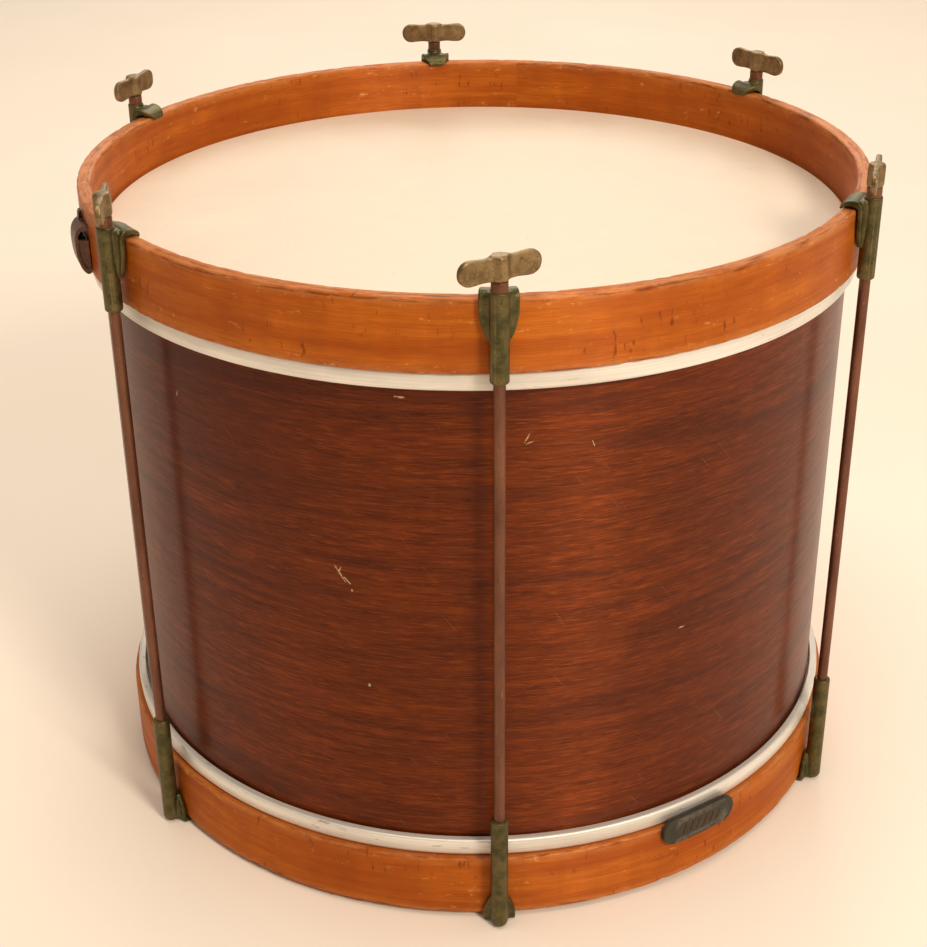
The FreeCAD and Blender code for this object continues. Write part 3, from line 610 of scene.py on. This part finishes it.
def film_finish():
    """A coated plastic head: cream, faintly grained, with grey scuffs where the sticks land."""
    film = Finish("coated_film", Subsurface_Weight=0.06, Subsurface_Radius=(0.004, 0.003, 0.002))
    place = film.solid()
    speckle = film.noise(place, 1900, 3, 0.6)
    cloud = film.noise(place, 14, 4, 0.6)
    colour = film.colours(cloud, (0.32, (0.665, 0.545, 0.435)), (0.62, (0.72, 0.6, 0.485)))
    colour = film.mix(film.between(speckle, 0.35, 0.65, 0.0, 0.1), colour, (0.58, 0.48, 0.37))
    dirt = film.noise(place, 320, 3, 0.55)
    where = film.noise(place, 11, 2, 0.5)
    specks = film.times(film.between(dirt, 0.7, 0.76), film.between(where, 0.42, 0.6))
    colour = film.over(colour, specks, 0.6, (0.26, 0.21, 0.15))
    scrape = film.noise(film.stretched(place, (60, 420, 60)), 1, 3, 0.6)
    area = film.noise(place, 7, 2, 0.5)
    scuffs = film.times(film.between(scrape, 0.62, 0.74), film.between(area, 0.5, 0.64))
    colour = film.over(colour, scuffs, 0.32, (0.46, 0.39, 0.3))
    swept = film.noise(film.stretched(place, (9, 300, 9)), 1, 4, 0.7)
    trace = film.times(film.between(swept, 0.6, 0.68), film.between(where, 0.46, 0.6))
    colour = film.over(colour, trace, 0.16, (0.4, 0.34, 0.26))
    film.set("Base Color", colour)
    film.set("Roughness", film.between(cloud, 0.3, 0.7, 0.46, 0.58))
    film.bump(speckle, 0.00004, 0.7)
    film.bump(cloud, 0.0006, 0.12)
    return film.material


def aluminium_finish():
    """A dull aluminium hoop gone milky, with fine lines round it and small stains."""
    metal = Finish("satin_aluminium", Metallic=0.55)
    lines = metal.grain(9, 3800, 2, 0.5)
    cloud = metal.grain(12, 60, 3, 0.6)
    colour = metal.colours(cloud, (0.3, (0.7, 0.66, 0.6)), (0.6, (0.84, 0.8, 0.74)))
    stain = metal.grain(70, 330, 4, 0.65)
    where = metal.grain(20, 30, 2, 0.5)
    stains = metal.times(metal.between(stain, 0.58, 0.68), metal.between(where, 0.5, 0.64))
    colour = metal.over(colour, stains, 0.65, (0.24, 0.19, 0.13))
    drawn = metal.grain(7, 900, 4, 0.65)
    colour = metal.mix(1.0, colour, metal.between(drawn, 0.34, 0.62, 0.91, 1.03), "MULTIPLY")
    metal.set("Base Color", colour)
    metal.set("Roughness", metal.between(cloud, 0.3, 0.7, 0.52, 0.42))
    metal.bump(lines, 0.00002, 0.5)
    metal.bump(stains, 0.0001, 0.5)
    return metal.material


def cast_finish(name, dark, light, bare, worn_at, roughness, metallic=0.75, pits=1.0, speckle=0.16):
    """Old cast metal: mottled tarnish that is rubbed to bare metal where the surface stands out."""
    metal = Finish(name, Metallic=metallic)
    place = metal.solid()
    cloud = metal.noise(place, 140, 4, 0.6)
    grit = metal.noise(place, 1500, 3, 0.6)
    pit = metal.noise(place, 620, 3, 0.6)
    colour = metal.colours(cloud, (0.36, dark), (0.62, light))
    colour = metal.mix(metal.between(grit, 0.5, 0.72, 0.0, speckle), colour, bare)
    patchy = metal.noise(place, 300, 4, 0.65)
    standing = metal.between(metal.value("worn"), *worn_at)
    edge = metal.times(standing, metal.between(patchy, 0.36, 0.58, 0.2, 1.0))
    colour = metal.over(colour, edge, 0.85, bare)
    colour = metal.over(colour, metal.value("sunk"), 0.75, (0.17, 0.06, 0.03))
    holes = metal.between(pit, 0.6, 0.7)
    colour = metal.over(colour, holes, 0.65 * pits,
                       tuple(0.4 * channel for channel in dark))
    metal.set("Base Color", colour)
    metal.set("Roughness", metal.between(cloud, 0.3, 0.7, roughness, roughness + 0.14))
    metal.bump(grit, 0.00006, 0.5)
    metal.bump(holes, -0.00012 * pits, 0.7)
    return metal.material


def rod_finish():
    """Steel gone brown all over, with darker and brighter spots along it."""
    metal = Finish("browned_steel", Metallic=0.55)
    place = metal.solid()
    bands = metal.noise(metal.stretched(place, (90, 90, 22)), 1, 4, 0.6)
    rust = metal.noise(place, 900, 4, 0.65)
    colour = metal.colours(bands, (0.34, (0.105, 0.036, 0.018)), (0.64, (0.205, 0.08, 0.042)))
    colour = metal.mix(metal.between(rust, 0.52, 0.7, 0.0, 0.55), colour, (0.055, 0.02, 0.012))
    spots = metal.noise(metal.stretched(place, (500, 500, 140)), 1, 2, 0.5)
    colour = metal.mix(metal.between(spots, 0.66, 0.74, 0.0, 0.35), colour, (0.33, 0.2, 0.12))
    metal.set("Base Color", colour)
    metal.set("Roughness", metal.between(bands, 0.3, 0.7, 0.38, 0.52))
    metal.bump(rust, 0.00007, 0.6)
    return metal.material


STAINED = hoop_finish()
VENEER = shell_finish()
BARE_MAPLE = plain_maple_finish()
FILM = film_finish()
ALUMINIUM = aluminium_finish()
BRONZE = cast_finish("tarnished_bronze", (0.05, 0.05, 0.016), (0.135, 0.105, 0.038),
                     (0.4, 0.29, 0.12), (0.15, 0.3), 0.36)
NICKEL = cast_finish("worn_nickel", (0.14, 0.086, 0.034), (0.29, 0.192, 0.086),
                     (0.6, 0.5, 0.33), (0.15, 0.3), 0.36, pits=1.2, speckle=0.22)
BROWNED = rod_finish()
BLACKED = cast_finish("blacked_metal", (0.023, 0.022, 0.014), (0.044, 0.04, 0.026),
                      (0.13, 0.1, 0.07), (0.15, 0.35), 0.52, metallic=0.3, pits=0.5)
JAPANNED = cast_finish("brown_japan", (0.06, 0.02, 0.01), (0.13, 0.046, 0.022),
                       (0.34, 0.22, 0.13), (0.12, 0.28), 0.34, metallic=0.35, pits=0.6)
BRASS = cast_finish("old_brass", (0.3, 0.19, 0.07), (0.48, 0.33, 0.14),
                    (0.7, 0.52, 0.26), (0.02, 0.1), 0.32)


def dress(obj, material, body, slot, *stands_for):
    """Give a piece its material and its body, and hide the CAD nodes that it stands for."""
    obj.data.materials.clear()
    obj.data.materials.append(material)
    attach(obj, body)
    if stands_for:
        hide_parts(*stands_for)
    return obj


# ---- shell, heads and hoops ----

VENT_RADIUS = 6.95 * MM
GAUGE = 0.3 * MM         # of the film
CHANNEL_DEPTH, CHANNEL_FLOOR, CHANNEL_LIP = 4.9 * MM, 2.1 * MM, 1.6 * MM


def mirrored_section(section, low, high):
    """The section turned over between the two heights."""
    return [Vector((point[0], low + high - point[1])) for point in reversed(section)]


def make_shell():
    low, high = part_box("shell")
    inner = SHELL_RADIUS - SHELL_WALL
    crest = SHELL_RADIUS - 2.6 * MM
    inside, outside = 3.2 * MM, 2.0 * MM     # how far the bearing edges are bevelled on each side
    corners = [(inner, low.z + inside), (crest, low.z), (SHELL_RADIUS, low.z + outside),
               (SHELL_RADIUS, high.z - outside), (crest, high.z), (inner, high.z - inside)]
    radii = [0, 0.5 * MM, 0.8 * MM, 0.8 * MM, 0.5 * MM, 0]
    obj = lathe("veneered_shell", divided(rounded(corners, radii, 3), 12 * MM), 480)
    vent = middle("vent_grommet")
    heading = Vector((vent.x, vent.y, 0)).normalized()
    drill = rod_solid("vent_cutter", VENT_RADIUS, -30 * MM, 30 * MM)
    drill.data.transform(Matrix.Translation(vent) @ heading.to_track_quat("Z", "Y").to_matrix().to_4x4())
    outwards(obj)
    cut_away(obj, drill)
    shade(obj)
    return dress(obj, VENEER, "shell", "shell_veneer", "shell")


def make_head(name, node, face_up):
    """The film: flat, with a tight shoulder over the bearing edge and a collar to its bead."""
    low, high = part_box(node)
    bead, foot, top = high.x, low.z, high.z
    collar = SHELL_RADIUS + RING_GAP + GAUGE
    bead_top, flare, shoulder = foot + 1.2 * MM, foot + 1.6 * MM, top - 2.2 * MM
    outline = [(2 * POLE, top), (collar - 2.4 * MM, top), (collar, shoulder), (collar, flare),
               (bead, bead_top), (bead, foot), (collar - GAUGE, foot), (collar - GAUGE, shoulder),
               (collar - 2.5 * MM, top - GAUGE), (2 * POLE, top - GAUGE)]
    radii = [0, 1.2 * MM, 1.2 * MM, 0.3 * MM, 0.3 * MM, 0.3 * MM, 0, 0.9 * MM, 0.9 * MM, 0]
    section = divided(rounded(outline, radii, 4), 9 * MM)
    if not face_up:
        section = mirrored_section(section, low.z, high.z)
    obj = lathe(name, section, 320)
    outwards(obj)
    shade(obj, 50)
    return dress(obj, FILM, "shell", "head_film", node)


def make_channel(name, node, body, up):
    """The flesh hoop: an aluminium channel, open inwards, with its edges rolled over."""
    low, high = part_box(node)
    outer, bore = high.x, high.x - CHANNEL_DEPTH
    shoulder, floor = outer - 0.5 * MM, outer - CHANNEL_FLOOR
    corners = [(bore, low.z), (shoulder, low.z), (outer, low.z + 4.2 * MM), (shoulder, high.z),
               (bore, high.z), (bore, high.z - CHANNEL_LIP), (floor, high.z - CHANNEL_LIP),
               (floor, low.z + CHANNEL_LIP), (bore, low.z + CHANNEL_LIP)]
    radii = [0.7, 1.5, 3.0, 2.0, 0.75, 0.4, 0.3, 0.3, 0.4]
    section = divided(rounded(corners, [r * MM for r in radii], 7), 2.5 * MM)
    if not up:
        section = mirrored_section(section, low.z, high.z)
    obj = lathe(name, section, 480)
    outwards(obj)
    shade(obj, 50)
    return dress(obj, ALUMINIUM, body, "flesh_aluminium", node)


def make_hoop(name, node, body, open_end):
    """A wooden counterhoop with eased edges and small dents; its rim at the open end is painted pale,
    partly as rubbed wear and partly as a painted sheen.
    """
    low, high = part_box(node)
    inner = HOOP_RADIUS - HOOP_WALL
    corners = [(inner, low.z), (HOOP_RADIUS, low.z), (HOOP_RADIUS, high.z), (inner, high.z)]
    obj = lathe(name, divided(rounded(corners, [1.25 * MM] * 4, 5), 2.4 * MM), 720)
    outwards(obj)
    points = points_of(obj.data).astype(float)
    radius = np.hypot(points[:, 0], points[:, 1])
    to_side = np.minimum(HOOP_RADIUS - radius, radius - inner)
    to_end = np.minimum(points[:, 2] - low.z, high.z - points[:, 2])
    corner = np.exp(-np.hypot(to_side, to_end) / (1.9 * MM))
    open_level = high.z if open_end > 0 else low.z
    # Near the open end's rim: real rubbing, plus a painted sheen that makes the rim top pale.
    rim_wear_and_sheen = np.exp(-np.abs(points[:, 2] - open_level) / (0.9 * MM))
    share = (HOOP_RADIUS + inner) / 2 / radius
    centre = np.stack([points[:, 0] * share, points[:, 1] * share,
                       np.full(len(points), (low.z + high.z) / 2)], axis=1)
    inward = centre - points
    inward[:, 2] = np.clip(inward[:, 2], -3 * MM, 3 * MM)
    inward /= np.linalg.norm(inward, axis=1)[:, None]
    rough = noise_at(points, 170)
    ripple = noise_at(points, 45, (3, 7, 1))
    dents = corner * np.clip(rough - 0.12, 0, 1) * 1.1 * MM
    waves = (0.5 + 0.5 * ripple) * 0.1 * MM
    set_points(obj.data, points + inward * (dents + waves)[:, None])
    # The worn value paints the eased edges pale as rubbing. It paints the open rim pale partly as rubbing
    # and partly as a painted sheen.
    set_value(obj.data, "worn", np.clip(corner * 1.15 + rim_wear_and_sheen * 0.95, 0, 1))
    shade(obj, 60)
    return dress(obj, STAINED, body, "hoop_maple", node)


# ---- fittings ----

UPPER_SADDLE = [
    # outer y, outer z, inner y, inner z, half width
    (-3.0, -21.6, -0.8, -21.6, 4.0),
    (-3.2, -17.5, -0.4, -17.5, 6.4),
    (-3.2, -12.5, -0.3, -12.5, 8.2),
    (-3.2, -7.0, -0.3, -7.0, 9.3),
    (-3.2, -1.5, -0.3, -1.8, 9.5),
    (-2.7, 1.9, 0.0, 0.2, 9.5),
    (-0.9, 4.1, 1.3, 0.9, 9.4),
    (2.2, 4.6, 3.0, 1.0, 9.0),
    (5.6, 3.7, 5.2, 0.5, 8.2),
    (8.5, 1.9, 7.6, 0.2, 6.7),
    (9.8, -0.4, 8.5, -0.8, 5.2),
    (9.85, -1.7, 8.6, -1.7, 4.4),
]

LOWER_SADDLE = [
    (-3.0, 18.4, -0.8, 18.4, 4.0),
    (-3.2, 15.0, -0.4, 15.0, 5.8),
    (-3.2, 11.5, -0.3, 11.5, 7.6),
    (-3.2, 7.0, -0.3, 7.0, 8.9),
    (-3.2, 3.2, -0.3, 4.2, 9.0),
    (-2.5, 0.8, 0.2, 2.9, 9.0),
    (-0.6, 0.05, 1.6, 2.8, 9.0),
    (3.0, 0.0, 3.6, 2.8, 8.6),
    (6.4, 0.1, 6.2, 2.9, 7.8),
    (8.7, 0.9, 7.9, 3.3, 6.4),
    (9.8, 2.6, 8.6, 4.1, 5.0),
    (9.85, 4.6, 8.7, 4.6, 4.4),
]


UPPER_WEB = [(-21.0, 4.4), (-17.5, 5.6), (-12.5, 7.4), (-7.0, 8.4), (-1.5, 8.6), (1.2, 8.4), (3.2, 6.8),
             (4.4, 5.2)]
LOWER_WEB = [(1.6, 7.6), (4.0, 8.0), (7.0, 7.9), (11.5, 6.6), (15.0, 5.2), (18.0, 4.4)]


TUBE_RADIUS, TUBE_BORE, SEAT_RADIUS = 4.75, 3.3, 4.2
UPPER_TUBE = (-39.2, 6.2)      # from the rim
UPPER_CUT = (-45, 10)          # its cutters run past both of its ends
SEAT_FLOOR, BLIND_END = 2.2, 9.0


def claw_masters():
    """The two castings, in their own frame: Y is 0 on the hoop's side, and Z is 0 at rim or floor."""
    axis = (0.0, -ROD_AXIS)
    upper = joined("upper_casting", [
        strap("saddle", UPPER_SADDLE, lip=0.28),
        web("fillets", UPPER_WEB, -ROD_AXIS),
        rod_solid("tube", TUBE_RADIUS, *UPPER_TUBE, axis, foot=1.2, head=0.5),
    ])
    melt(upper, 0.32, 7, 0.3)
    cut_away(upper, rod_solid("bore", TUBE_BORE, *UPPER_CUT, axis))
    cut_away(upper, rod_solid("seat", SEAT_RADIUS, SEAT_FLOOR, UPPER_CUT[1], axis))

    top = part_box("lower_claw_1")[1].z / MM
    lower = joined("lower_casting", [
        strap("saddle", LOWER_SADDLE, lip=0.12),
        web("fillets", LOWER_WEB, -ROD_AXIS),
        rod_solid("tube", TUBE_RADIUS, 0.0, top, axis, foot=4.5, head=0.7),
    ])
    melt(lower, 0.32, 7, 0.3)
    cut_away(lower, rod_solid("bore", TUBE_BORE, BLIND_END, top + 5, axis))
    points = points_of(lower.data)
    points[:, 2] = points[:, 2].clip(0)
    set_points(lower.data, points)
    for master in (upper, lower):
        outwards(master)
        weathered(master)
    return upper, lower


def make_claws():
    masters = claw_masters()
    for k in range(1, COUNT + 1):
        azimuth = azimuth_of(f"tension_rod_{k}")
        for end, level, master in zip(("upper", "lower"), (RIM, 0), masters):
            claw = placed(f"claw_{end}_{k}", master, on_hoop(azimuth, level))
            dress(claw, BRONZE, end, "claw_metal", f"{end}_claw_{k}")
    for master in masters:
        bpy.data.objects.remove(master)


ROD_RADIUS, COLLAR_RADIUS, COLLAR_HEIGHT = 3.0 * MM, 4.1 * MM, 9.0 * MM


def make_rods():
    """Tension rods with the collar that turns in the upper claw's seat."""
    for k in range(1, COUNT + 1):
        node = f"tension_rod_{k}"
        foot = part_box(node)[0].z
        centre = middle(node)
        under_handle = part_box(f"tee_handle_{k}")[0].z
        seat = under_handle - COLLAR_HEIGHT
        corners = [(POLE, foot), (ROD_RADIUS, foot), (ROD_RADIUS, seat), (COLLAR_RADIUS, seat),
                   (COLLAR_RADIUS, under_handle), (POLE, under_handle)]
        section = divided(rounded(corners, [0, 0.7 * MM, 0.2 * MM, 0.3 * MM, 0.4 * MM, 0], 3), 3 * MM)
        rod = lathe(f"rod_{k}", section, 40)
        points = points_of(rod.data).astype(float)
        swell = noise_at(points + (k, 0, 0), 260)
        points[:, :2] *= 1 - 0.012 * (0.5 + 0.5 * swell[:, None])
        points += (centre.x, centre.y, 0)
        set_points(rod.data, points)
        outwards(rod)
        shade(rod)
        dress(rod, BROWNED, f"rod_{k}", "rod_steel", node)


HANDLE_LENGTH, HANDLE_HEIGHT, HANDLE_THICK = 43.5, 12.2, 3.2
HUB_RADIUS, HUB_CROWN = 4.8, 0.5


def handle_half_sizes(x):
    """A T-handle's half thickness, half height and crown, this far along it from the rod."""
    half = HANDLE_LENGTH / 2
    end_round = HANDLE_HEIGHT / 2 - 0.1
    past = max(0.0, abs(x) - (half - end_round))
    tall = max(0.25, math.sqrt(max(0.0, end_round ** 2 - past ** 2)) + 0.1)
    waist = 0.55 * math.exp(-((abs(x) - 8.5) / 4.5) ** 2)
    wing = HANDLE_THICK / 2 * (0.62 + 0.38 * min(1.0, (half - abs(x)) / 1.2))
    hub = max(0.0, min(HUB_RADIUS * 0.96, HUB_RADIUS * 1.3 - abs(x)))
    thick = max(wing, hub) + 0.5 * math.exp(-abs(hub - wing) / 0.7)
    crown = HUB_CROWN * min(1.0, max(0.0, (HUB_RADIUS + 0.6 - abs(x)) / 1.2))
    return min(thick, HUB_RADIUS), tall - waist, crown


def handle_master():
    """A T-handle along X: two flat wings with round ends, and a hub with flats, softly joined."""
    ends = {round(HANDLE_LENGTH / 2 * math.sin(math.pi / 2 * t), 4) for t in np.linspace(-1, 1, 61)}
    stations = sorted(ends | {round(x, 4) for x in np.linspace(-7, 7, 57)})
    sides = 48
    power = 2 / 7.0
    vertices = []
    for x in stations:
        thick, tall, crown = handle_half_sizes(x)
        for s in range(sides):
            angle = 2 * math.pi * s / sides
            across = math.copysign(abs(math.cos(angle)) ** power, math.cos(angle))
            up = math.copysign(abs(math.sin(angle)) ** power, math.sin(angle))
            rise = crown * (1 - 0.5 * across ** 2) if up > 0 else 0.0
            vertices.append((x, across * thick, HANDLE_HEIGHT / 2 + up * (tall + rise)))
    obj = skin("handle_casting", vertices, sides)
    melt(obj, 0.3, 5, 0.35)
    points = points_of(obj.data).astype(float)
    lumps = noise_at(points, 0.55)
    points[:, 1] *= 1 - 0.05 * (0.5 + 0.5 * lumps)
    set_points(obj.data, points)
    weathered(obj)
    return obj


def wing_heading(node):
    """The direction of a T-handle's wings: the mean of all its vertices' directions, far ones first."""
    points = points_of(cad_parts[node].data)[:, :2].astype(float)
    east, north = (points - np.array(middle(node).to_2d())).T
    return math.atan2((2 * east * north).sum(), (east ** 2 - north ** 2).sum()) / 2


def make_handles():
    master = handle_master()
    for k in range(1, COUNT + 1):
        node = f"tee_handle_{k}"
        centre = middle(f"tension_rod_{k}")
        place = Matrix.Translation((centre.x, centre.y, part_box(node)[0].z))
        handle = placed(f"tee_{k}", master, place @ Matrix.Rotation(wing_heading(node), 4, "Z"))
        dress(handle, NICKEL, f"rod_{k}", "handle_metal", node)
    bpy.data.objects.remove(master)


PLATE_LENGTH, PLATE_HEIGHT, PLATE_THICK, PLATE_BEVEL = 51.6, 17.3, 3.5, 0.9
GROOVES, GROOVE_PITCH, GROOVE_DEPTH = 6, 4.9, 0.9
GROOVE = [(-1.9, -3.3), (-0.4, -3.5), (1.9, 3.3), (0.4, 3.5)]


def make_plate():
    """The pill-shaped plate, with six slanted grooves, bent to the lower hoop."""
    half_length, half_height = PLATE_LENGTH / 2, PLATE_HEIGHT / 2
    corners = [(-half_length, -half_height), (half_length, -half_height),
               (half_length, half_height), (-half_length, half_height)]
    outline = rounded(corners, [half_height - 0.1] * 4, 14)
    plate = prism("pill_plate", outline, 0.0, PLATE_THICK, "Y")
    bevel = plate.modifiers.new("bevel", "BEVEL")
    bevel.width = PLATE_BEVEL
    bevel.segments = 3
    baked(plate)
    for i in range(GROOVES):
        centre = GROOVE_PITCH * (i - (GROOVES - 1) / 2)
        groove = rounded([(centre + x, z) for x, z in GROOVE], [0.4] * 4, 3)
        cut_away(plate, prism("groove", groove, PLATE_THICK - GROOVE_DEPTH, PLATE_THICK + 1, "Y"))
    melt(plate, 0.24, 3, 0.3)
    points = points_of(plate.data).astype(float)
    sunk = (np.abs(points[:, 0]) < GROOVE_PITCH * GROOVES / 2) & (np.abs(points[:, 2]) < 3.6)
    sunk &= (points[:, 1] < PLATE_THICK - 0.15) & (points[:, 1] > PLATE_THICK / 2)
    set_value(plate.data, "sunk", sunk.astype(float))
    points *= MM
    centre = middle("hoop_plate")
    angle = math.atan2(centre.x, -centre.y) + points[:, 0] / (HOOP_RADIUS + PLATE_THICK * MM)
    radius = HOOP_RADIUS + points[:, 1]
    set_points(plate.data, np.stack([radius * np.sin(angle), -radius * np.cos(angle),
                                     centre.z + points[:, 2]], axis=1))
    outwards(plate)
    weathered(plate)
    return dress(plate, BLACKED, "lower", "plate_metal", "hoop_plate")


# The bow's profile from the side, as (off the counterhoop's side, above the bow's lowest point), then
# the outlines cut out of it and the ear on top, as (y, height).
BOW_FRONT = [(0.2, 1.2), (2.3, 0.1), (4.6, 2.2), (6.1, 6.2), (6.9, 11.0), (7.15, 16.0), (6.95, 20.2),
             (6.0, 23.6), (4.2, 25.8), (2.2, 26.8), (0.2, 27.2)]
BOW_PANEL = [(1.0, 4.2), (-2.9, 3.4), (-4.7, 7.4), (-5.4, 12.0), (-5.4, 18.2), (1.0, 18.2)]
BOW_WINDOW = [(1.0, 19.4), (-5.4, 19.4), (-5.1, 21.6), (-3.6, 24.0), (-1.6, 25.0), (1.0, 25.2)]
BOW_TUNNEL = [(-1.2, -2.0), (-3.2, -2.0), (-5.2, 5.6), (-5.4, 19.4), (-1.2, 19.4)]
BOW_EAR = [(-0.2, 25.6), (-2.8, 25.6), (-2.3, 30.6), (-1.4, 31.8), (-0.4, 31.8)]
EAR_SIDES = (-8.6, -3.4)
BOW_DEPTH, BOW_HALF, CHEEK, PANEL_DEPTH, BOW_SLANT = 7.15, 10.9, 1.8, 0.7, 0.34


def make_bow():
    """A pressed strap bow: a bulging band, slanted cheeks, openings above and below, and an ear on top."""
    front = [(-proud, rise) for proud, rise in smooth_rows(BOW_FRONT, 5)]
    bow = prism("band", front, -BOW_HALF, BOW_HALF)
    for side in (-1, 1):
        edges = sorted((side * (BOW_HALF - PANEL_DEPTH), side * (BOW_HALF + 1)))
        cut_away(bow, prism("panel", rounded(BOW_PANEL, [0, 0.8, 3, 4, 0.8, 0], 4), *edges))
    window = rounded(BOW_WINDOW, [0, 0.6, 1, 1, 0.5, 0], 4)
    cut_away(bow, prism("window", window, -BOW_HALF - 1, BOW_HALF + 1))
    tunnel = rounded(BOW_TUNNEL, [0, 0, 0.8, 0, 0], 3)
    cut_away(bow, prism("tunnel", tunnel, CHEEK - BOW_HALF, BOW_HALF - CHEEK))
    ear = prism("ear", rounded(BOW_EAR, [0, 0, 0.5, 0.4, 0.4], 3), *EAR_SIDES)
    bow = joined("strap_loop", [bow, ear])
    points = points_of(bow.data).astype(float)
    points[:, 0] *= 1 + BOW_SLANT * np.clip(points[:, 1], -BOW_DEPTH, 0) / BOW_DEPTH
    set_points(bow.data, points)
    melt(bow, 0.26, 3, 0.35)
    outwards(bow)
    weathered(bow)
    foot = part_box("strap_bow")[0].z
    obj = placed("strap_loop_part", bow, on_hoop(azimuth_of("strap_bow"), foot))
    bpy.data.objects.remove(bow)
    return dress(obj, JAPANNED, "upper", "bow_steel", "strap_bow")


SCREWS = [(7.5, 20), (16.0, -35)]      # above the bow's foot, and the slot's turn
SLOT = [(-3.5, -0.3), (3.5, -0.3), (3.5, 0.3), (-3.5, 0.3)]


def make_bow_screws():
    """Two round-head wood screws with slots, through the bow's base plate."""
    screws = []
    for level, turn in SCREWS:
        screw = joined("wood_screw", [
            rod_solid("shank", 1.45, -6.0, 1.2, segments=24),
            rod_solid("head", 2.75, 1.1, 2.4, segments=32, head=0.9),
        ])
        melt(screw, 0.2, 2, 1.0)
        slot = prism("slot", SLOT, 1.9, 3.0, "Z")
        slot.data.transform(Matrix.Rotation(math.radians(turn), 4, "Z"))
        cut_away(screw, slot)
        upright = Matrix.Rotation(math.radians(90), 4, "X")
        screw.data.transform(Matrix.Translation((0, 0, level)) @ upright)
        screws.append(screw)
    pair = joined("bow_screw_pair", screws)
    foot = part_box("strap_bow")[0].z
    obj = placed("bow_wood_screws", pair, on_hoop(azimuth_of("strap_bow"), foot))
    bpy.data.objects.remove(pair)
    weathered(obj)
    return dress(obj, NICKEL, "upper", "screw_steel", "bow_screws")


def make_grommet():
    """A rolled brass eyelet through the shell wall."""
    centre = middle("vent_grommet")
    bore, barrel, wall = 5.4, 6.9, SHELL_WALL / MM
    corners = [(bore, 1.0), (9.6, 0.9), (9.9, 0.05), (barrel, 0.0), (barrel, -wall - 0.1),
               (8.2, -wall - 0.1), (7.8, -wall - 0.85), (bore, -wall - 0.85)]
    section = rounded(corners, [1.4, 0.5, 0.1, 0.1, 0.1, 0.2, 0.3, 0.8], 4)
    ring = lathe("eyelet", [Vector(p) * MM for p in section], 96)
    heading = Vector((centre.x, centre.y, 0)).normalized()
    place = heading * SHELL_RADIUS
    place.z = centre.z
    turn = heading.to_track_quat("Z", "Y").to_matrix().to_4x4()
    ring.data.transform(Matrix.Translation(place) @ turn)
    outwards(ring)
    set_value(ring.data, "worn", np.full(len(ring.data.vertices), 0.05))
    shade(ring)
    return dress(ring, BRASS, "shell", "grommet_brass", "vent_grommet")


def make_drum():
    make_shell()
    make_head("film_batter", "batter_head", True)
    make_head("film_lower", "lower_head", False)
    make_channel("channel_upper", "upper_flesh_hoop", "upper", True)
    make_channel("channel_lower", "lower_flesh_hoop", "lower", False)
    make_hoop("hoop_upper", "upper_counterhoop", "upper", 1)
    make_hoop("hoop_lower", "lower_counterhoop", "lower", -1)
    make_claws()
    make_rods()
    make_handles()
    make_plate()
    make_bow()
    make_bow_screws()
    make_grommet()
    for node in ("upper_shell_ring", "lower_shell_ring"):
        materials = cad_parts[node].data.materials
        materials.clear()
        materials.append(BARE_MAPLE)


# ---- stage, light and camera ----

def make_floor():
    size = 9.0
    floor = make_object("floor", [(-size, -size, 0), (size, -size, 0), (size, size, 0), (-size, size, 0)],
                        [(0, 1, 2, 3)])
    paper = Finish("pale_paper", Roughness=0.85)
    cloud = paper.noise(paper.solid(), 3, 3, 0.5)
    paper.set("Base Color", paper.colours(cloud, (0.3, (0.87, 0.765, 0.665)), (0.7, (0.9, 0.8, 0.705))))
    floor.data.materials.append(paper.material)


def make_light():
    """A pale room that is brighter behind the drum and to its right, and a soft lamp at front right."""
    world = bpy.data.worlds.new("room")
    bpy.context.scene.world = world
    world.use_nodes = True
    nodes, links = world.node_tree.nodes, world.node_tree.links
    place = nodes.new("ShaderNodeTexCoord")
    lean = nodes.new("ShaderNodeVectorMath")
    lean.operation = "DOT_PRODUCT"
    lean.inputs[1].default_value = (0.3, 0.42, 0.1)
    shift = nodes.new("ShaderNodeMath")
    shift.inputs[1].default_value = 0.5
    ramp = nodes.new("ShaderNodeValToRGB")
    ramp.color_ramp.elements[0].color = (0.22, 0.17, 0.12, 1)
    ramp.color_ramp.elements[1].color = (1.0, 0.91, 0.77, 1)
    links.new(place.outputs["Generated"], lean.inputs[0])
    links.new(lean.outputs["Value"], shift.inputs[0])
    links.new(shift.outputs[0], ramp.inputs["Fac"])
    links.new(ramp.outputs["Color"], nodes["Background"].inputs["Color"])
    nodes["Background"].inputs["Strength"].default_value = 0.82

    def area(name, place, size, power, colour):
        light = bpy.data.lights.new(name, "AREA")
        light.shape = "DISK"
        light.size = size
        light.energy = power
        light.color = colour
        obj = linked(name, light)
        obj.location = place
        obj.rotation_euler = (Vector((0, 0, 0.2)) - Vector(place)).to_track_quat("-Z", "Y").to_euler()

    area("key", (1.15, -1.85, 1.75), 0.6, 44, (1.0, 0.89, 0.74))
    area("top", (-0.1, -0.2, 2.9), 1.5, 27, (1.0, 0.9, 0.77))
    area("fill", (-1.8, -0.9, 1.6), 1.4, 3, (1.0, 0.86, 0.7))
    area("back", (0.1, 2.4, 1.9), 1.6, 22, (1.0, 0.93, 0.82))


def make_camera():
    """In front of the drum and above it, looking a little down."""
    yaw, pitch, roll = -0.0084, 0.4818, -0.011
    forward = Vector((math.sin(yaw) * math.cos(pitch), math.cos(yaw) * math.cos(pitch), -math.sin(pitch)))
    level = Vector((math.cos(yaw), -math.sin(yaw), 0))
    upright = level.cross(forward)
    right = math.cos(roll) * level + math.sin(roll) * upright
    up = math.cos(roll) * upright - math.sin(roll) * level
    data = bpy.data.cameras.new("camera")
    data.lens = 63.7
    data.sensor_width = 36.0
    camera = linked("camera", data)
    turn = Matrix((right, up, -forward)).transposed()
    camera.matrix_world = Matrix.Translation((0, -0.9387, 0.6531)) @ turn.to_4x4()
    bpy.context.scene.camera = camera


make_drum()
make_floor()
make_light()
make_camera()
bpy.context.scene.view_settings.view_transform = "Standard"
